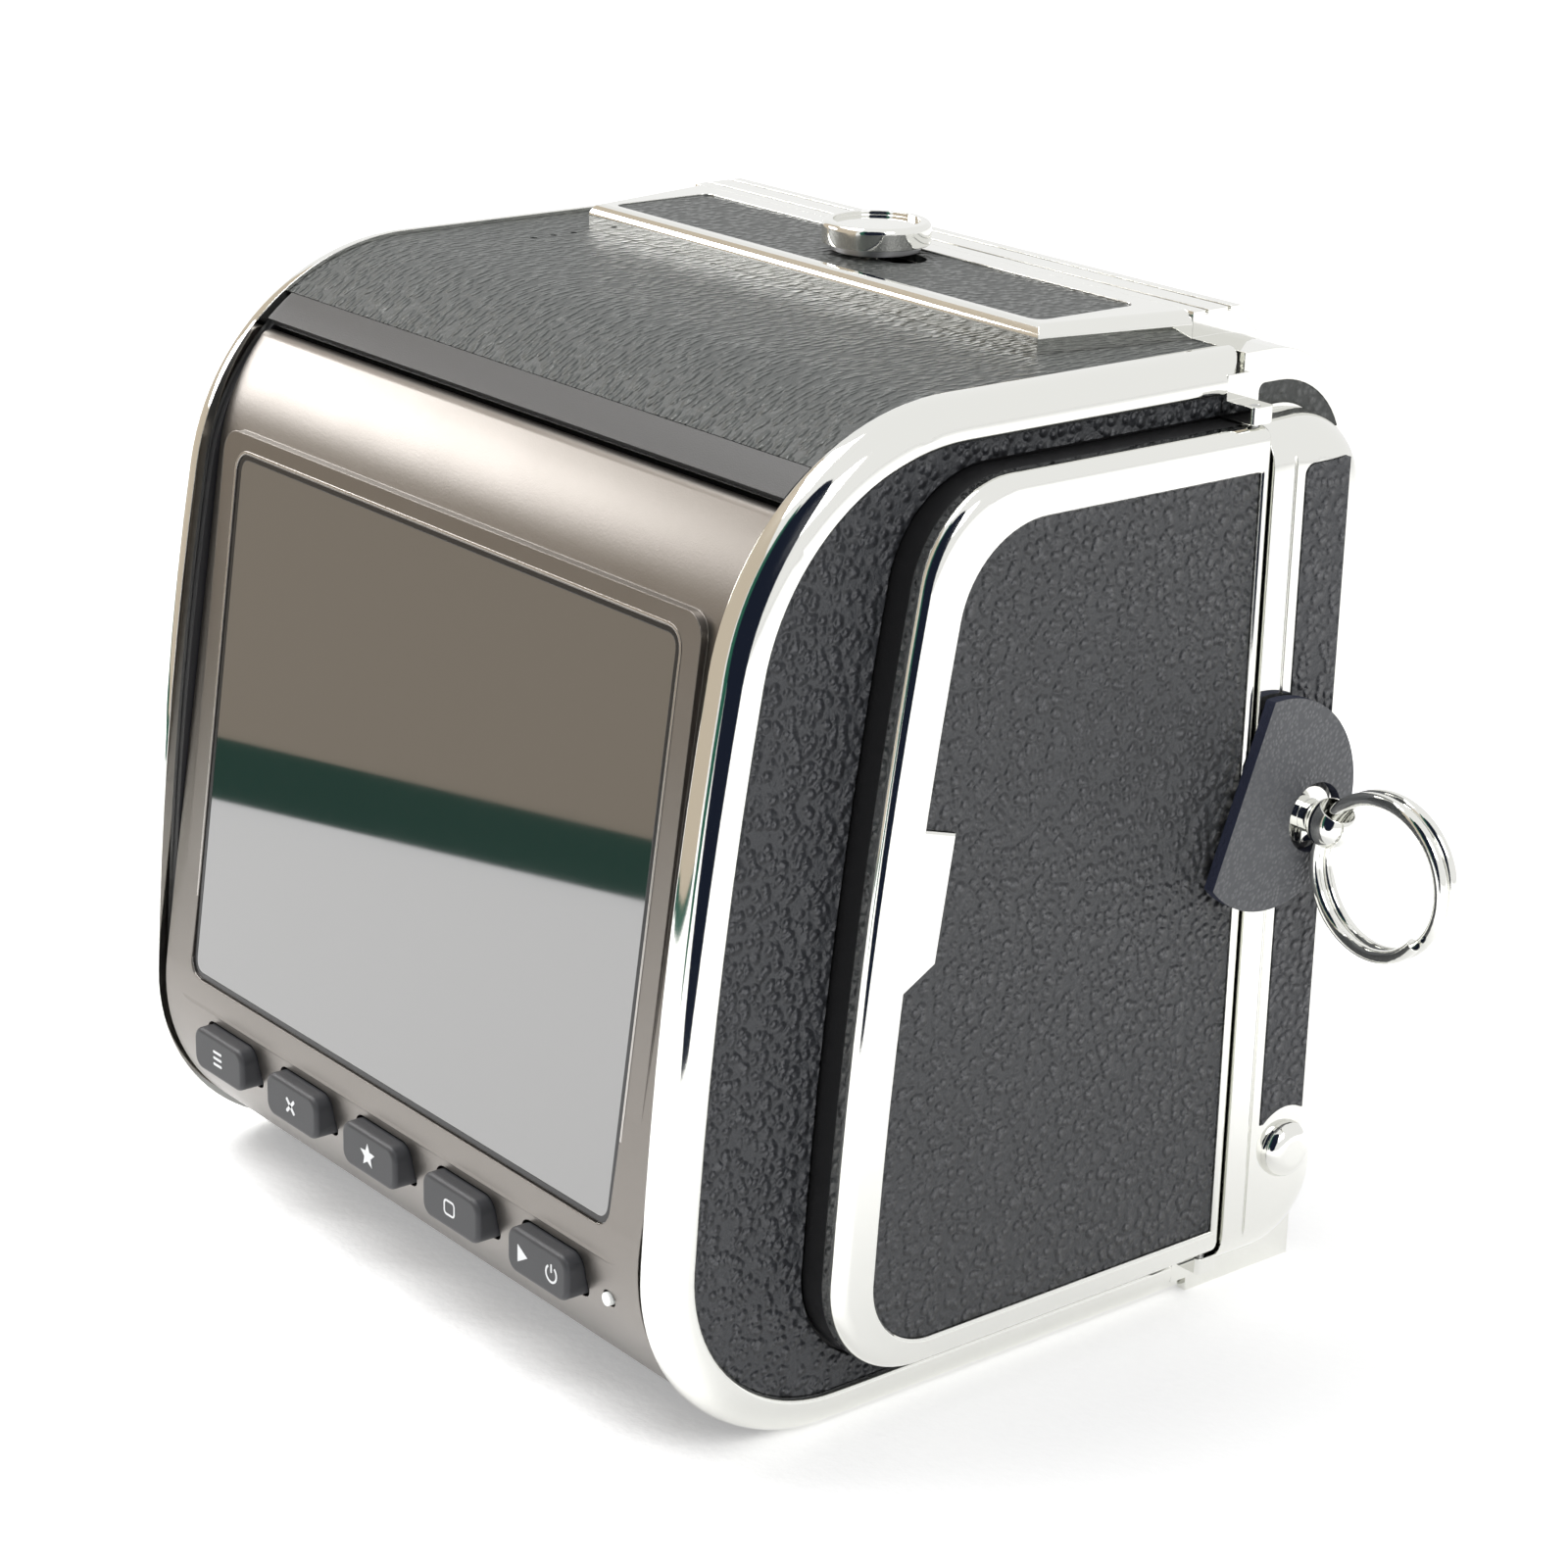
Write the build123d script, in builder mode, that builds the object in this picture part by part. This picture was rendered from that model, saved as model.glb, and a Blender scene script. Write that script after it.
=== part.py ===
from build123d import *
import os
from math import cos, radians, sin, tan

os.makedirs("parts", exist_ok=True)

# The origin is the mouth of the tripod thread, on the base plane. +X is the card door's side,
# +Y points at the subject and the screen faces -Y. Lengths named back are measured from the
# rearmost line of the chrome trims, and thread_back brings that line to the origin.
thread_back = 67.2

# Side view of the digital back
body_height = 88.2
seam_back = 60.7
low_corner = 18.5
top_corner = 23.8
low_lean = 3.0
high_lean = 10.7

# Stack of pieces across the width, from the middle outwards
housing_half = 38.3
plate_thick = 2.1
side_leather_thick = 0.9
trim_proud = 0.6
trim_width = 3.6
trim_lip = 1.25
trim_round = 2.6
trim_ease = 0.5
lip_start = housing_half + 0.65
housing_skin = 1.3
housing_wall = 1.8
top_leather_thick = 0.9
fit_gap = 0.05
overrun = 5.0

# Tilting screen unit
panel_rear = 0.35
panel_skin = 0.9
panel_thick = 6.5
panel_low_corner = 17.6
panel_top_corner = 20.5
panel_lean = 8.6
panel_half = housing_half - 0.2
panel_foot = 58.0
panel_gap = 0.4
strip_width = 3.3
microphone_across = 31.0
microphone_back = 38.5
microphone_pitch = 2.35
microphone_count = 3
microphone_radius = 0.35
hinge_rise = 41.0
knuckle_radius = 1.3
hinge_pin_radius = 0.6
hinge_pin_length = 5.0
hinge_pin_seat = 1.5
pin_clearance = 0.05

# Raised display frame, glass and display
screen_lean = 7.6
screen_foot = 18.0
screen_foot_back = 0.3
frame_half = 36.2
frame_height = 55.2
frame_depth = 3.0
frame_corner = 2.2
glass_width = 67.4
glass_height = 50.6
glass_thick = 1.1
glass_corner = 1.7
glass_lift = 2.75
glass_recess = 0.12
display_width = 65.6
display_height = 49.2
display_thick = 2.0
pocket_half = 35.2
cover_thick = 1.0
shell_wall = 1.3
pocket_low = 9.5
pocket_high = 73.5

# Buttons under the screen
button_pitch = 13.0
button_steps = (-2, -1, 0, 1, 2)
button_width = 8.7
button_height = 4.2
button_corner = 1.3
button_edge = 0.45
button_level = 15.0
button_face_back = -1.2
button_depth = 4.3
button_travel = 0.8
button_play = 0.2
flange_grow = 0.5
flange_thick = 0.8
switch_radius = 1.5
board_thick = 0.8
light_across = 33.6
light_level = 14.4
light_radius = 0.6
light_back = 0.5
light_length = 3.2

# Doors on both sides
door_rear = 15.3
door_low = 5.6
door_high = 82.5
door_low_corner = 9.5
door_top_corner = 10.0
door_reach = 60.5
door_stand = 5.2
door_face = housing_half + plate_thick + door_stand
door_floor = door_face - 4.6
door_wall = 2.2
bead_start = door_face - 2.0
bead_round = 1.25
bead_ease = 0.2
front_round = 0.9
fold_cut = 0.8
door_lid_thick = 1.4
door_leather_face = door_face - 0.4
door_leather_inset = 4.1
door_leather_low = 8.1
door_leather_high = 78.6
door_leather_reach = 59.3
door_leather_low_corner = 6.5
door_leather_top_corner = 9.0
door_leather_thick = 0.9
door_gap = 0.35
notch_low = 40.0
notch_high = 54.6
notch_depth = 3.0
notch_slope = 2.4
door_pin_across = door_face - 1.3
door_pin_back = 59.15
door_pin_radius = 0.4
door_pin_length = 3.8
ear_height = 1.5
ear_reach = 0.85
ear_ease = 0.5
rail_back = 58.2
ear_gap = 0.2

# Bays behind the doors
battery_size = (53.0, 20.5, 37.5)
battery_rear = 22.5
battery_floor = 8.0
battery_corner = 2.0
bay_wall = 0.8
bay_gap = 0.4
card_size = (31.5, 24.0, 2.1)
card_rear = 27.0
card_levels = (57.0, 64.0)
card_gap = 0.2
cage_wall = 1.6
cage_length = 33.0
card_stand = 0.8
port_size = (9.0, 8.9, 3.2)
port_mouth = (7.0, 8.3, 2.5)
port_rear = 35.0
port_level = 42.0

# Top plate and release knob
plate_rear = 45.6
plate_rear_half = 31.9
plate_front_half = 34.9
plate_top = 90.2
plate_edge = 1.1
inset_half = 30.2
inset_rear = 47.2
inset_front = 58.6
inset_corner = 1.2
inset_depth = 0.8
inset_drop = 0.15
knob_back = 54.7
knob_radius = 5.0
knob_base = 91.0
knob_top = 93.0
knob_edge = 0.5
knob_dish = 0.35
collar_radius = 4.1
stem_radius = 1.8
knob_travel = 4.0
slot_play = 0.25
hook_size = (16.0, 7.0, 1.6)

# Front body
front_back = 74.0
front_edge = 4.2
cheek_half = door_face
cheek_step = 4.3
core_half = cheek_half - cheek_step
core_drop = 0.3
cheek_low = 3.3
cheek_high = 82.5
cheek_corner = 8.2
crown_edge = 10.0
cheek_groove = 63.3
groove_inset = 2.2
deck_back = 66.3
deck_front = 71.8
deck_foot = 84.0
lens_level = 46.0
throat_radius = 28.0
deck_grooves = (62.3, 65.0)
groove_width = 0.35
chamber_clear = 0.5
chamber_depth = 4.2
strip_rear = 64.5
strip_front = 69.9
strip_low = 17.2
strip_high = 78.6
strip_corner = 1.0
strip_front_corner = 2.6
strip_proud = 0.1
strip_depth = 0.7
stud_back = 67.7
stud_level = 14.2
stud_radius = 2.7
stud_height = 1.5
stud_clear = 4.1
window_rear = 62.6
window_front = 73.3
window_low = 83.0
window_high = 85.0
window_corner = 8.3
window_round = 0.7
window_foot = 80.0

# Lens mount and front controls
flange_back = 78.8
mount_outer = 33.0
mount_inner = 26.4
bayonet_inner = 24.4
bayonet_thick = 1.5
bayonet_sweep = 48.0
mount_screw_circle = 30.2
mount_screw_radius = 1.3
mount_screw_count = 6
mount_screw_turn = 15.0
screw_head_drop = 0.15
screw_slot = 0.35
mount_edge = 0.6
bayonet_count = 3
bayonet_turn = 90.0
contact_turn = 270.0
contact_sweep = 70.0
contact_inner = 23.2
contact_middle = 24.6
contact_step = 6.5
contact_pairs = 4
contact_pin = 0.45
contact_drop = 2.6
contact_depth = 3.0
front_leather_thick = 0.7
front_leather_margin = 0.4
front_leather_half = core_half - front_leather_margin
front_leather_low = 3.0
front_leather_high = 77.6
front_leather_corner = 2.2
wheel_across = core_half - 8.3
wheel_level = 12.6
wheel_radius = 7.0
wheel_bore = 4.95
wheel_thick = 1.5
wheel_ribs = 28
rib_radius = 0.32
shutter_radius = 3.9
shutter_proud = 2.3
shutter_depth = 3.0
shutter_travel = 0.6
lens_key_across = 3.7 - core_half
lens_key_level = 27.0
lens_key_radius = 2.6
lens_key_proud = 1.6

# Tripod bush
thread_radius = 3.175
thread_length = 6.0
bush_radius = 5.2
bush_length = 8.0

# Strap lugs, split rings and leather guards
lug_forward = 0.0
lug_level = 46.7
lug_flange = 2.65
lug_flange_thick = 0.7
lug_neck = 1.5
lug_ball = 2.25
lug_reach = 3.35
lug_ball_across = cheek_half + lug_reach
eye_radius = 1.6
wire_radius = 0.62
ring_radius = 6.9
ring_turns = 1.93
ring_pitch = 1.32
ring_droop = 25.8
guard_stand = 0.35
guard_start = cheek_half + guard_stand
guard_thick = 0.65
guard_hole = 3.2
guard_top = (61.2, 58.4)
guard_foot = (55.0, 42.4)
guard_front = (71.8, 49.6)

# Parts inside
image_plane_back = 60.66
sensor_size = (53.0, 40.0)
sensor_thick = 1.7
sensor_glass_margin = (2.0, 1.25)
sensor_glass_size = [size - 2 * edge for size, edge in zip(sensor_size, sensor_glass_margin)]
sensor_glass_thick = 1.0
sensor_frame_rim = (2.5, 3.0)
sensor_frame_size = [size + 2 * edge for size, edge in zip(sensor_size, sensor_frame_rim)]
sensor_frame_thick = 3.2
board_half = 33.0
board_low = 12.0
board_high = 78.0
post_radius = 1.3
post_inset = 1.6
main_board_back = 53.2
chips = ((-14.0, 30.0, 13.0), (12.0, 52.0, 16.0), (-16.0, 60.0, 10.0))
chip_thick = 1.1
sensor_flange = 1.5
sensor_flange_thick = 0.9
chamber_half = sensor_frame_size[0] / 2 + sensor_flange + chamber_clear
chamber_tall = sensor_frame_size[1] / 2 + sensor_flange + chamber_clear


def side(across):
    # A plane square to X: its first axis runs forward from the rearmost line, its second up
    return Plane(origin=(across, -thread_back, 0), x_dir=(0, 1, 0), z_dir=(1, 0, 0))


def level(height):
    # A plane square to Z, with its second axis forward from the rearmost line
    return Plane(origin=(0, -thread_back, height))


def wall(back):
    # A plane square to Y that faces the subject: its first axis runs to -X, its second up
    return Plane(origin=(0, back - thread_back, 0), x_dir=(-1, 0, 0), z_dir=(0, 1, 0))


def keep(piece, name):
    piece.label = name
    export_step(piece, f"parts/{name}.step")


def mirrored(piece):
    with BuildPart() as twin:
        add(piece)
        mirror(about=Plane.YZ, mode=Mode.REPLACE)
    return twin.part


def straight_centres(rear, low, high, low_radius, top_radius, lean):
    # Centres of the two corners that a straight leaning back joins
    low_y, low_z, top_z = rear + low_radius, low + low_radius, high - top_radius
    rise = (top_z - low_z) * sin(radians(lean)) - (low_radius - top_radius)
    return low_y, low_z, low_y + rise / cos(radians(lean)), top_z


def arched(rear, low, high, low_radius, top_radius, reach):
    # The body's side view: two corners joined by one long gentle arc up the back
    low_sine, high_sine = sin(radians(low_lean)), sin(radians(high_lean))
    room = high - low - low_radius * (1 + low_sine) - top_radius * (1 - high_sine)
    back_radius = room / (high_sine - low_sine)
    low_y, low_z = rear + low_radius, low + low_radius
    arc_y = low_y + (back_radius - low_radius) * cos(radians(low_lean))
    arc_z = low_z - (back_radius - low_radius) * low_sine
    top_y = arc_y - (back_radius - top_radius) * cos(radians(high_lean))
    with BuildSketch() as view:
        with BuildLine():
            Line((reach, low), (low_y, low))
            CenterArc((low_y, low_z), low_radius, 180 - low_lean, 90 + low_lean)
            CenterArc((arc_y, arc_z), back_radius, 180 - high_lean, high_lean - low_lean)
            CenterArc((top_y, high - top_radius), top_radius, 90, 90 - high_lean)
            Line((top_y, high), (reach, high))
            Line((reach, high), (reach, low))
        make_face()
    return view.sketch


def leaning(rear, low, high, low_radius, top_radius, lean):
    # The side view of what lies under the screen: straight between its two corners
    low_y, low_z, top_y, top_z = straight_centres(rear, low, high, low_radius, top_radius, lean)
    step_y, step_z = cos(radians(lean)), sin(radians(lean))
    with BuildSketch() as view:
        with BuildLine():
            Line((seam_back, low), (low_y, low))
            CenterArc((low_y, low_z), low_radius, 180 - lean, 90 + lean)
            Line((low_y - low_radius * step_y, low_z + low_radius * step_z),
                 (top_y - top_radius * step_y, top_z + top_radius * step_z))
            CenterArc((top_y, top_z), top_radius, 90, 90 - lean)
            Line((top_y, high), (seam_back, high))
            Line((seam_back, high), (seam_back, low))
        make_face()
    return view.sketch


def body_outline(inset, reach=seam_back):
    return arched(inset, inset, body_height - inset, low_corner - inset, top_corner - inset, reach)


def panel_sizes(inset):
    return (panel_rear + inset, panel_skin + inset, body_height - panel_skin - inset,
            panel_low_corner - inset, panel_top_corner - inset, panel_lean)


# The hinge runs just under the skin, so the screen's top edge is a knuckle about it
corner_y, corner_z = straight_centres(*panel_sizes(0))[2:]
hinge_back = corner_y - (panel_top_corner - knuckle_radius) * cos(radians(hinge_rise))
hinge_height = corner_z + (panel_top_corner - knuckle_radius) * sin(radians(hinge_rise))


def above_hinge(start, length):
    # A band across the skin that starts at a distance above the hinge, measured along the skin
    with BuildSketch() as band:
        with Locations(Location((hinge_back, hinge_height, 0), (0, 0, -hinge_rise))):
            with Locations((0, start + length / 2)):
                Rectangle(4 * seam_back, length)
    return band.sketch


def panel_section(grow=0.0):
    # The screen unit cut across: a curved slab from its foot up to its hinge knuckle
    with BuildSketch() as section:
        if grow:
            with Locations((0, body_height / 2)):
                Rectangle(2 * seam_back, 2 * body_height)
        else:
            add(leaning(*panel_sizes(0)))
        add(leaning(*panel_sizes(panel_thick + grow)), mode=Mode.SUBTRACT)
        foot_y, foot_z = straight_centres(*panel_sizes(0))[:2]
        with Locations(Location((foot_y, foot_z, 0), (0, 0, 180 + panel_foot))):
            with Locations((0, grow + body_height / 2)):
                Rectangle(4 * seam_back, body_height, mode=Mode.SUBTRACT)
        add(above_hinge(grow, body_height), mode=Mode.SUBTRACT)
        with Locations((hinge_back, hinge_height)):
            Circle(knuckle_radius + grow)
    return section.sketch


# Tilted plane of the display frame's face: its first axis is +X, its second runs up the lean
screen_plane = Plane(
    origin=(0, screen_foot_back - thread_back, screen_foot),
    x_dir=(1, 0, 0),
    z_dir=(0, -cos(radians(screen_lean)), sin(radians(screen_lean))),
)
glass_middle = glass_lift + glass_height / 2
housing_end = housing_half + plate_thick
leather_face = housing_end + side_leather_thick
trim_face = leather_face + trim_proud

# Housing of the digital back, open at both sides
with BuildPart() as housing:
    with BuildSketch(side(-housing_half)):
        add(body_outline(housing_skin))
        bay_inset = panel_thick + panel_gap + housing_wall
        add(leaning(panel_rear + bay_inset, housing_skin + housing_wall,
                    body_height - housing_skin - housing_wall,
                    panel_low_corner - bay_inset, panel_top_corner - bay_inset, panel_lean),
            mode=Mode.SUBTRACT)
        with Locations((seam_back - housing_wall / 2, body_height / 2)):
            Rectangle(housing_wall, body_height - 2 * housing_skin)
    extrude(amount=2 * housing_half)
    with BuildSketch(side(-housing_half - overrun)):
        add(panel_section(panel_gap))
    extrude(amount=2 * (housing_half + overrun), mode=Mode.SUBTRACT)
    with BuildSketch(wall(seam_back + overrun)):
        with Locations((0, lens_level)):
            Rectangle(*[size + 2 * panel_gap for size in sensor_frame_size])
    extrude(amount=-2 * overrun, mode=Mode.SUBTRACT)
    with BuildSketch(level(body_height - housing_skin + overrun)):
        with Locations((0, knob_back)):
            SlotOverall(2 * (stem_radius + slot_play + knob_travel), 2 * (stem_radius + slot_play))
    extrude(amount=-2 * overrun, mode=Mode.SUBTRACT)
keep(housing.part, "back_housing")

# Dark strip above the screen's hinge line
with BuildPart() as strip:
    with BuildSketch(side(-housing_half)):
        add(body_outline(housing_skin - top_leather_thick))
        add(body_outline(housing_skin), mode=Mode.SUBTRACT)
        add(above_hinge(knuckle_radius + panel_gap, strip_width), mode=Mode.INTERSECT)
    extrude(amount=2 * housing_half)
keep(strip.part, "hinge_strip")

# Leather over the top, cut out round the top plate
with BuildPart() as leather:
    with BuildSketch(side(-lip_start + fit_gap)):
        add(body_outline(housing_skin - top_leather_thick))
        add(body_outline(housing_skin), mode=Mode.SUBTRACT)
        add(above_hinge(knuckle_radius + panel_gap + strip_width + fit_gap - body_height, body_height),
            mode=Mode.SUBTRACT)
        with Locations((0, body_height / 4)):
            Rectangle(4 * seam_back, body_height / 2, mode=Mode.SUBTRACT)
    extrude(amount=2 * (lip_start - fit_gap))
    with BuildSketch(level(body_height - housing_skin - overrun)):
        with BuildLine():
            Polyline(
                (-plate_front_half - fit_gap, seam_back + fit_gap),
                (-plate_rear_half - fit_gap, plate_rear - fit_gap),
                (plate_rear_half + fit_gap, plate_rear - fit_gap),
                (plate_front_half + fit_gap, seam_back + fit_gap),
                close=True,
            )
        make_face()
    extrude(amount=2 * overrun, mode=Mode.SUBTRACT)
    with BuildSketch(level(body_height - housing_skin - overrun)):
        with Locations(*[(-microphone_across, microphone_back + step * microphone_pitch)
                         for step in range(microphone_count)]):
            Circle(microphone_radius)
    extrude(amount=2 * overrun, mode=Mode.SUBTRACT)
keep(leather.part, "top_leather")

# The doors turn on short pins between ears just above and below them
ear_levels = (door_low - ear_gap - ear_height / 2, door_high + ear_gap + ear_height / 2)
pin_levels = (door_low - ear_gap - ear_height + door_pin_length / 2,
              door_high + ear_gap + ear_height - door_pin_length / 2)

# Side plates carry the bays' openings and the ears of the doors' hinges
bay_windows = {
    "right": ((port_rear + port_size[1] / 2, port_level, port_size[1] + bay_gap, port_size[2] + bay_gap),
              (card_rear + card_size[1] / 2, (card_levels[0] + card_levels[1]) / 2,
               card_size[1] + 2 * cage_wall,
               card_levels[1] - card_levels[0] + card_size[2] + 2 * cage_wall)),
    "left": ((battery_rear + battery_size[1] / 2, battery_floor + battery_size[2] / 2,
              battery_size[1] + 2 * bay_gap, battery_size[2] + 2 * bay_gap),),
}


def door_outline(grow=0.0):
    return arched(door_rear - grow, door_low - grow, door_high + grow, door_low_corner + grow,
                  door_top_corner + grow, door_reach + grow)


def side_plate(windows):
    with BuildPart() as plate:
        with BuildSketch(side(housing_half)):
            add(body_outline(housing_skin))
            for middle_y, middle_z, long_y, long_z in windows:
                with Locations((middle_y, middle_z)):
                    Rectangle(long_y, long_z, mode=Mode.SUBTRACT)
            with Locations((hinge_back, hinge_height)):
                Circle(hinge_pin_radius + fit_gap / 2, mode=Mode.SUBTRACT)
        extrude(amount=plate_thick)
    return plate.part


def side_leather():
    with BuildPart() as skin:
        with BuildSketch(side(housing_end)):
            add(body_outline(trim_width + fit_gap, rail_back - fit_gap))
            add(door_outline(door_gap), mode=Mode.SUBTRACT)
        extrude(amount=side_leather_thick)
    return skin.part


def on_outline(point, inset):
    # Whether a point in the side view lies on the body's outline at an inset
    spot = Vector(point.Y + thread_back, point.Z)
    return body_outline(inset, seam_back - fit_gap).face().outer_wire().distance_to(spot) < fit_gap


def side_trim():
    # An L section: a bead over the plate's edge, and a lip down to the housing's skin
    with BuildPart() as trim:
        with BuildSketch(side(lip_start)):
            add(body_outline(0, seam_back - fit_gap))
            add(body_outline(trim_lip, seam_back + overrun), mode=Mode.SUBTRACT)
        extrude(amount=housing_end - lip_start)
        with BuildSketch(side(housing_end)):
            add(body_outline(0, seam_back - fit_gap))
            add(body_outline(trim_width, seam_back + overrun), mode=Mode.SUBTRACT)
        extrude(amount=trim_face - housing_end)
        crest = trim.faces().filter_by(GeomType.PLANE).sort_by(Axis.X)[-1]
        fillet([edge for edge in crest.edges() if on_outline(edge @ 0.5, 0)], trim_round)
        crest = trim.faces().filter_by(GeomType.PLANE).sort_by(Axis.X)[-1]
        fillet([edge for edge in crest.edges() if on_outline(edge @ 0.5, trim_width)], trim_ease)
        with BuildSketch(side(housing_end)):
            for rail_low, rail_high in ((trim_width / 2, ear_levels[0] + ear_height / 2),
                                        (ear_levels[1] - ear_height / 2, body_height - trim_width / 2)):
                with Locations(((rail_back + seam_back - fit_gap) / 2, (rail_low + rail_high) / 2)):
                    Rectangle(seam_back - fit_gap - rail_back, rail_high - rail_low)
        extrude(amount=trim_face - housing_end)
        for ear_level in ear_levels:
            with BuildSketch(level(ear_level)):
                with Locations(((housing_end + door_pin_across + ear_reach) / 2,
                                (rail_back + seam_back - fit_gap) / 2)):
                    Rectangle(door_pin_across + ear_reach - housing_end, seam_back - fit_gap - rail_back)
            extrude(amount=ear_height / 2, both=True)
        tips = [edge for edge in trim.edges().filter_by(Axis.Z)
                if edge.center().X > door_pin_across + ear_reach - fit_gap]
        fillet(tips, ear_ease)
        with Locations((door_pin_across, door_pin_back - thread_back, body_height / 2)):
            Cylinder(door_pin_radius + pin_clearance, body_height, mode=Mode.SUBTRACT)
    return trim.part


for windows, hand in ((bay_windows["right"], "right"), (bay_windows["left"], "left")):
    for piece, name in ((side_plate(windows), "side_plate"), (side_leather(), "side_leather"),
                        (side_trim(), "side_trim")):
        keep(piece if hand == "right" else mirrored(piece), f"{name}_{hand}")


# Doors: a raised block with a chrome bead round a leather panel
def door_panel(grow=0.0):
    return arched(door_rear + door_leather_inset - grow, door_leather_low - grow, door_leather_high + grow,
                  door_leather_low_corner + grow, door_leather_top_corner + grow,
                  door_leather_reach + grow)


def finger_notch():
    # The bead's wider stretch at mid height, which a fingertip pulls on
    edge = door_rear + door_leather_inset
    lean_in = (notch_high - notch_low) * tan(radians((low_lean + high_lean) / 2))
    with BuildSketch() as widening:
        with BuildLine():
            Polyline(
                (edge - notch_depth, notch_low),
                (edge + notch_slope / 2, notch_low),
                (edge + notch_slope + notch_depth, notch_low + notch_slope),
                (edge + notch_slope + notch_depth + lean_in, notch_high - notch_slope / 2),
                (edge + notch_slope / 2 + lean_in, notch_high),
                (edge - notch_depth, notch_high),
                close=True,
            )
        make_face()
    return widening.sketch


def door_shell():
    with BuildPart() as shell:
        with BuildSketch(side(door_floor)):
            add(door_outline())
        extrude(amount=bead_start - door_floor)
        with BuildSketch(side(door_floor)):
            add(door_outline(-door_wall))
        extrude(amount=bead_start - door_floor - door_lid_thick, mode=Mode.SUBTRACT)
        with BuildSketch(side(bead_start)):
            add(door_panel(-door_gap))
            add(offset(finger_notch(), amount=door_gap, mode=Mode.PRIVATE), mode=Mode.SUBTRACT)
        extrude(amount=door_leather_face - door_leather_thick - bead_start)
        fold = shell.edges().filter_by(Axis.Z).group_by(Axis.Y)[-1].sort_by(Axis.X)[0]
        chamfer(fold, fold_cut)
    return shell.part


def door_frame():
    with BuildPart() as frame:
        with BuildSketch(side(bead_start)):
            add(door_outline())
            add(door_panel(), mode=Mode.SUBTRACT)
            add(finger_notch())
            add(door_outline(), mode=Mode.INTERSECT)
        extrude(amount=door_face - bead_start)
        crest = frame.faces().filter_by(GeomType.PLANE).sort_by(Axis.X)[-1]
        front_rail = crest.outer_wire().edges().filter_by(Axis.Z).sort_by(Axis.Y)[-1]
        fillet([edge for edge in crest.outer_wire().edges() if edge != front_rail], bead_round)
        crest = frame.faces().filter_by(GeomType.PLANE).sort_by(Axis.X)[-1]
        fillet(crest.outer_wire().edges().filter_by(Axis.Z).sort_by(Axis.Y)[-1], front_round)
        crest = frame.faces().filter_by(GeomType.PLANE).sort_by(Axis.X)[-1]
        chamfer(crest.inner_wires()[0].edges(), bead_ease)
        with Locations(*[(door_pin_across, door_pin_back - thread_back, height) for height in pin_levels]):
            Cylinder(door_pin_radius + pin_clearance, door_pin_length + 2 * fit_gap, mode=Mode.SUBTRACT)
    return frame.part


def door_leather():
    with BuildPart() as skin:
        with BuildSketch(side(door_leather_face - door_leather_thick)):
            add(door_panel(-fit_gap))
            add(offset(finger_notch(), amount=fit_gap, mode=Mode.PRIVATE), mode=Mode.SUBTRACT)
        extrude(amount=door_leather_thick)
    return skin.part


def door_pins():
    with BuildPart() as pins:
        with Locations(*[(door_pin_across, door_pin_back - thread_back, height) for height in pin_levels]):
            Cylinder(door_pin_radius, door_pin_length)
    return pins.part


for side_name, door_name in (("right", "card_door"), ("left", "battery_door")):
    for piece, name in ((door_shell(), f"{door_name}_shell"), (door_frame(), f"{door_name}_frame"),
                        (door_leather(), f"{door_name}_leather")):
        keep(piece if side_name == "right" else mirrored(piece), name)


# Screen unit: curved shell, raised frame, window and pocket
def on_screen(width, height, corner, depth_start, depth_end, middle=None):
    # A block on the screen's plane between two depths below the frame's face
    with BuildPart() as block:
        with BuildSketch(screen_plane.offset(-depth_start)):
            with Locations((0, glass_middle if middle is None else middle)):
                RectangleRounded(width, height, corner) if corner else Rectangle(width, height)
        extrude(amount=depth_start - depth_end)
    return block.part


with BuildPart() as screen_shell:
    with BuildSketch(side(-panel_half)):
        add(panel_section())
    extrude(amount=2 * panel_half)
    add(on_screen(2 * frame_half, frame_height, frame_corner, 0, frame_depth, frame_height / 2))
    add(on_screen(glass_width, glass_height, glass_corner, -overrun, glass_recess + glass_thick),
        mode=Mode.SUBTRACT)
    add(on_screen(display_width, display_height, 0, 0, 2 * overrun), mode=Mode.SUBTRACT)
    with BuildSketch(side(-pocket_half)):
        add(leaning(*panel_sizes(shell_wall)))
        add(leaning(*panel_sizes(panel_thick + fit_gap)), mode=Mode.SUBTRACT)
        with Locations((0, (pocket_low + pocket_high) / 2)):
            Rectangle(2 * seam_back, pocket_high - pocket_low, mode=Mode.INTERSECT)
    extrude(amount=2 * pocket_half, mode=Mode.SUBTRACT)
    with BuildSketch(wall(0)):
        with Locations(*[(step * button_pitch, button_level) for step in button_steps]):
            RectangleRounded(button_width + 2 * button_play, button_height + 2 * button_play, button_corner)
    extrude(amount=2 * overrun, both=True, mode=Mode.SUBTRACT)
    with BuildSketch(wall(0)):
        with Locations((-light_across, light_level)):
            Circle(light_radius + button_play)
    extrude(amount=2 * overrun, both=True, mode=Mode.SUBTRACT)
    with BuildSketch(side(-panel_half - overrun)):
        with Locations((hinge_back, hinge_height)):
            Circle(hinge_pin_radius + pin_clearance)
    extrude(amount=2 * (panel_half + overrun), mode=Mode.SUBTRACT)
keep(screen_shell.part, "screen_shell")

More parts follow.
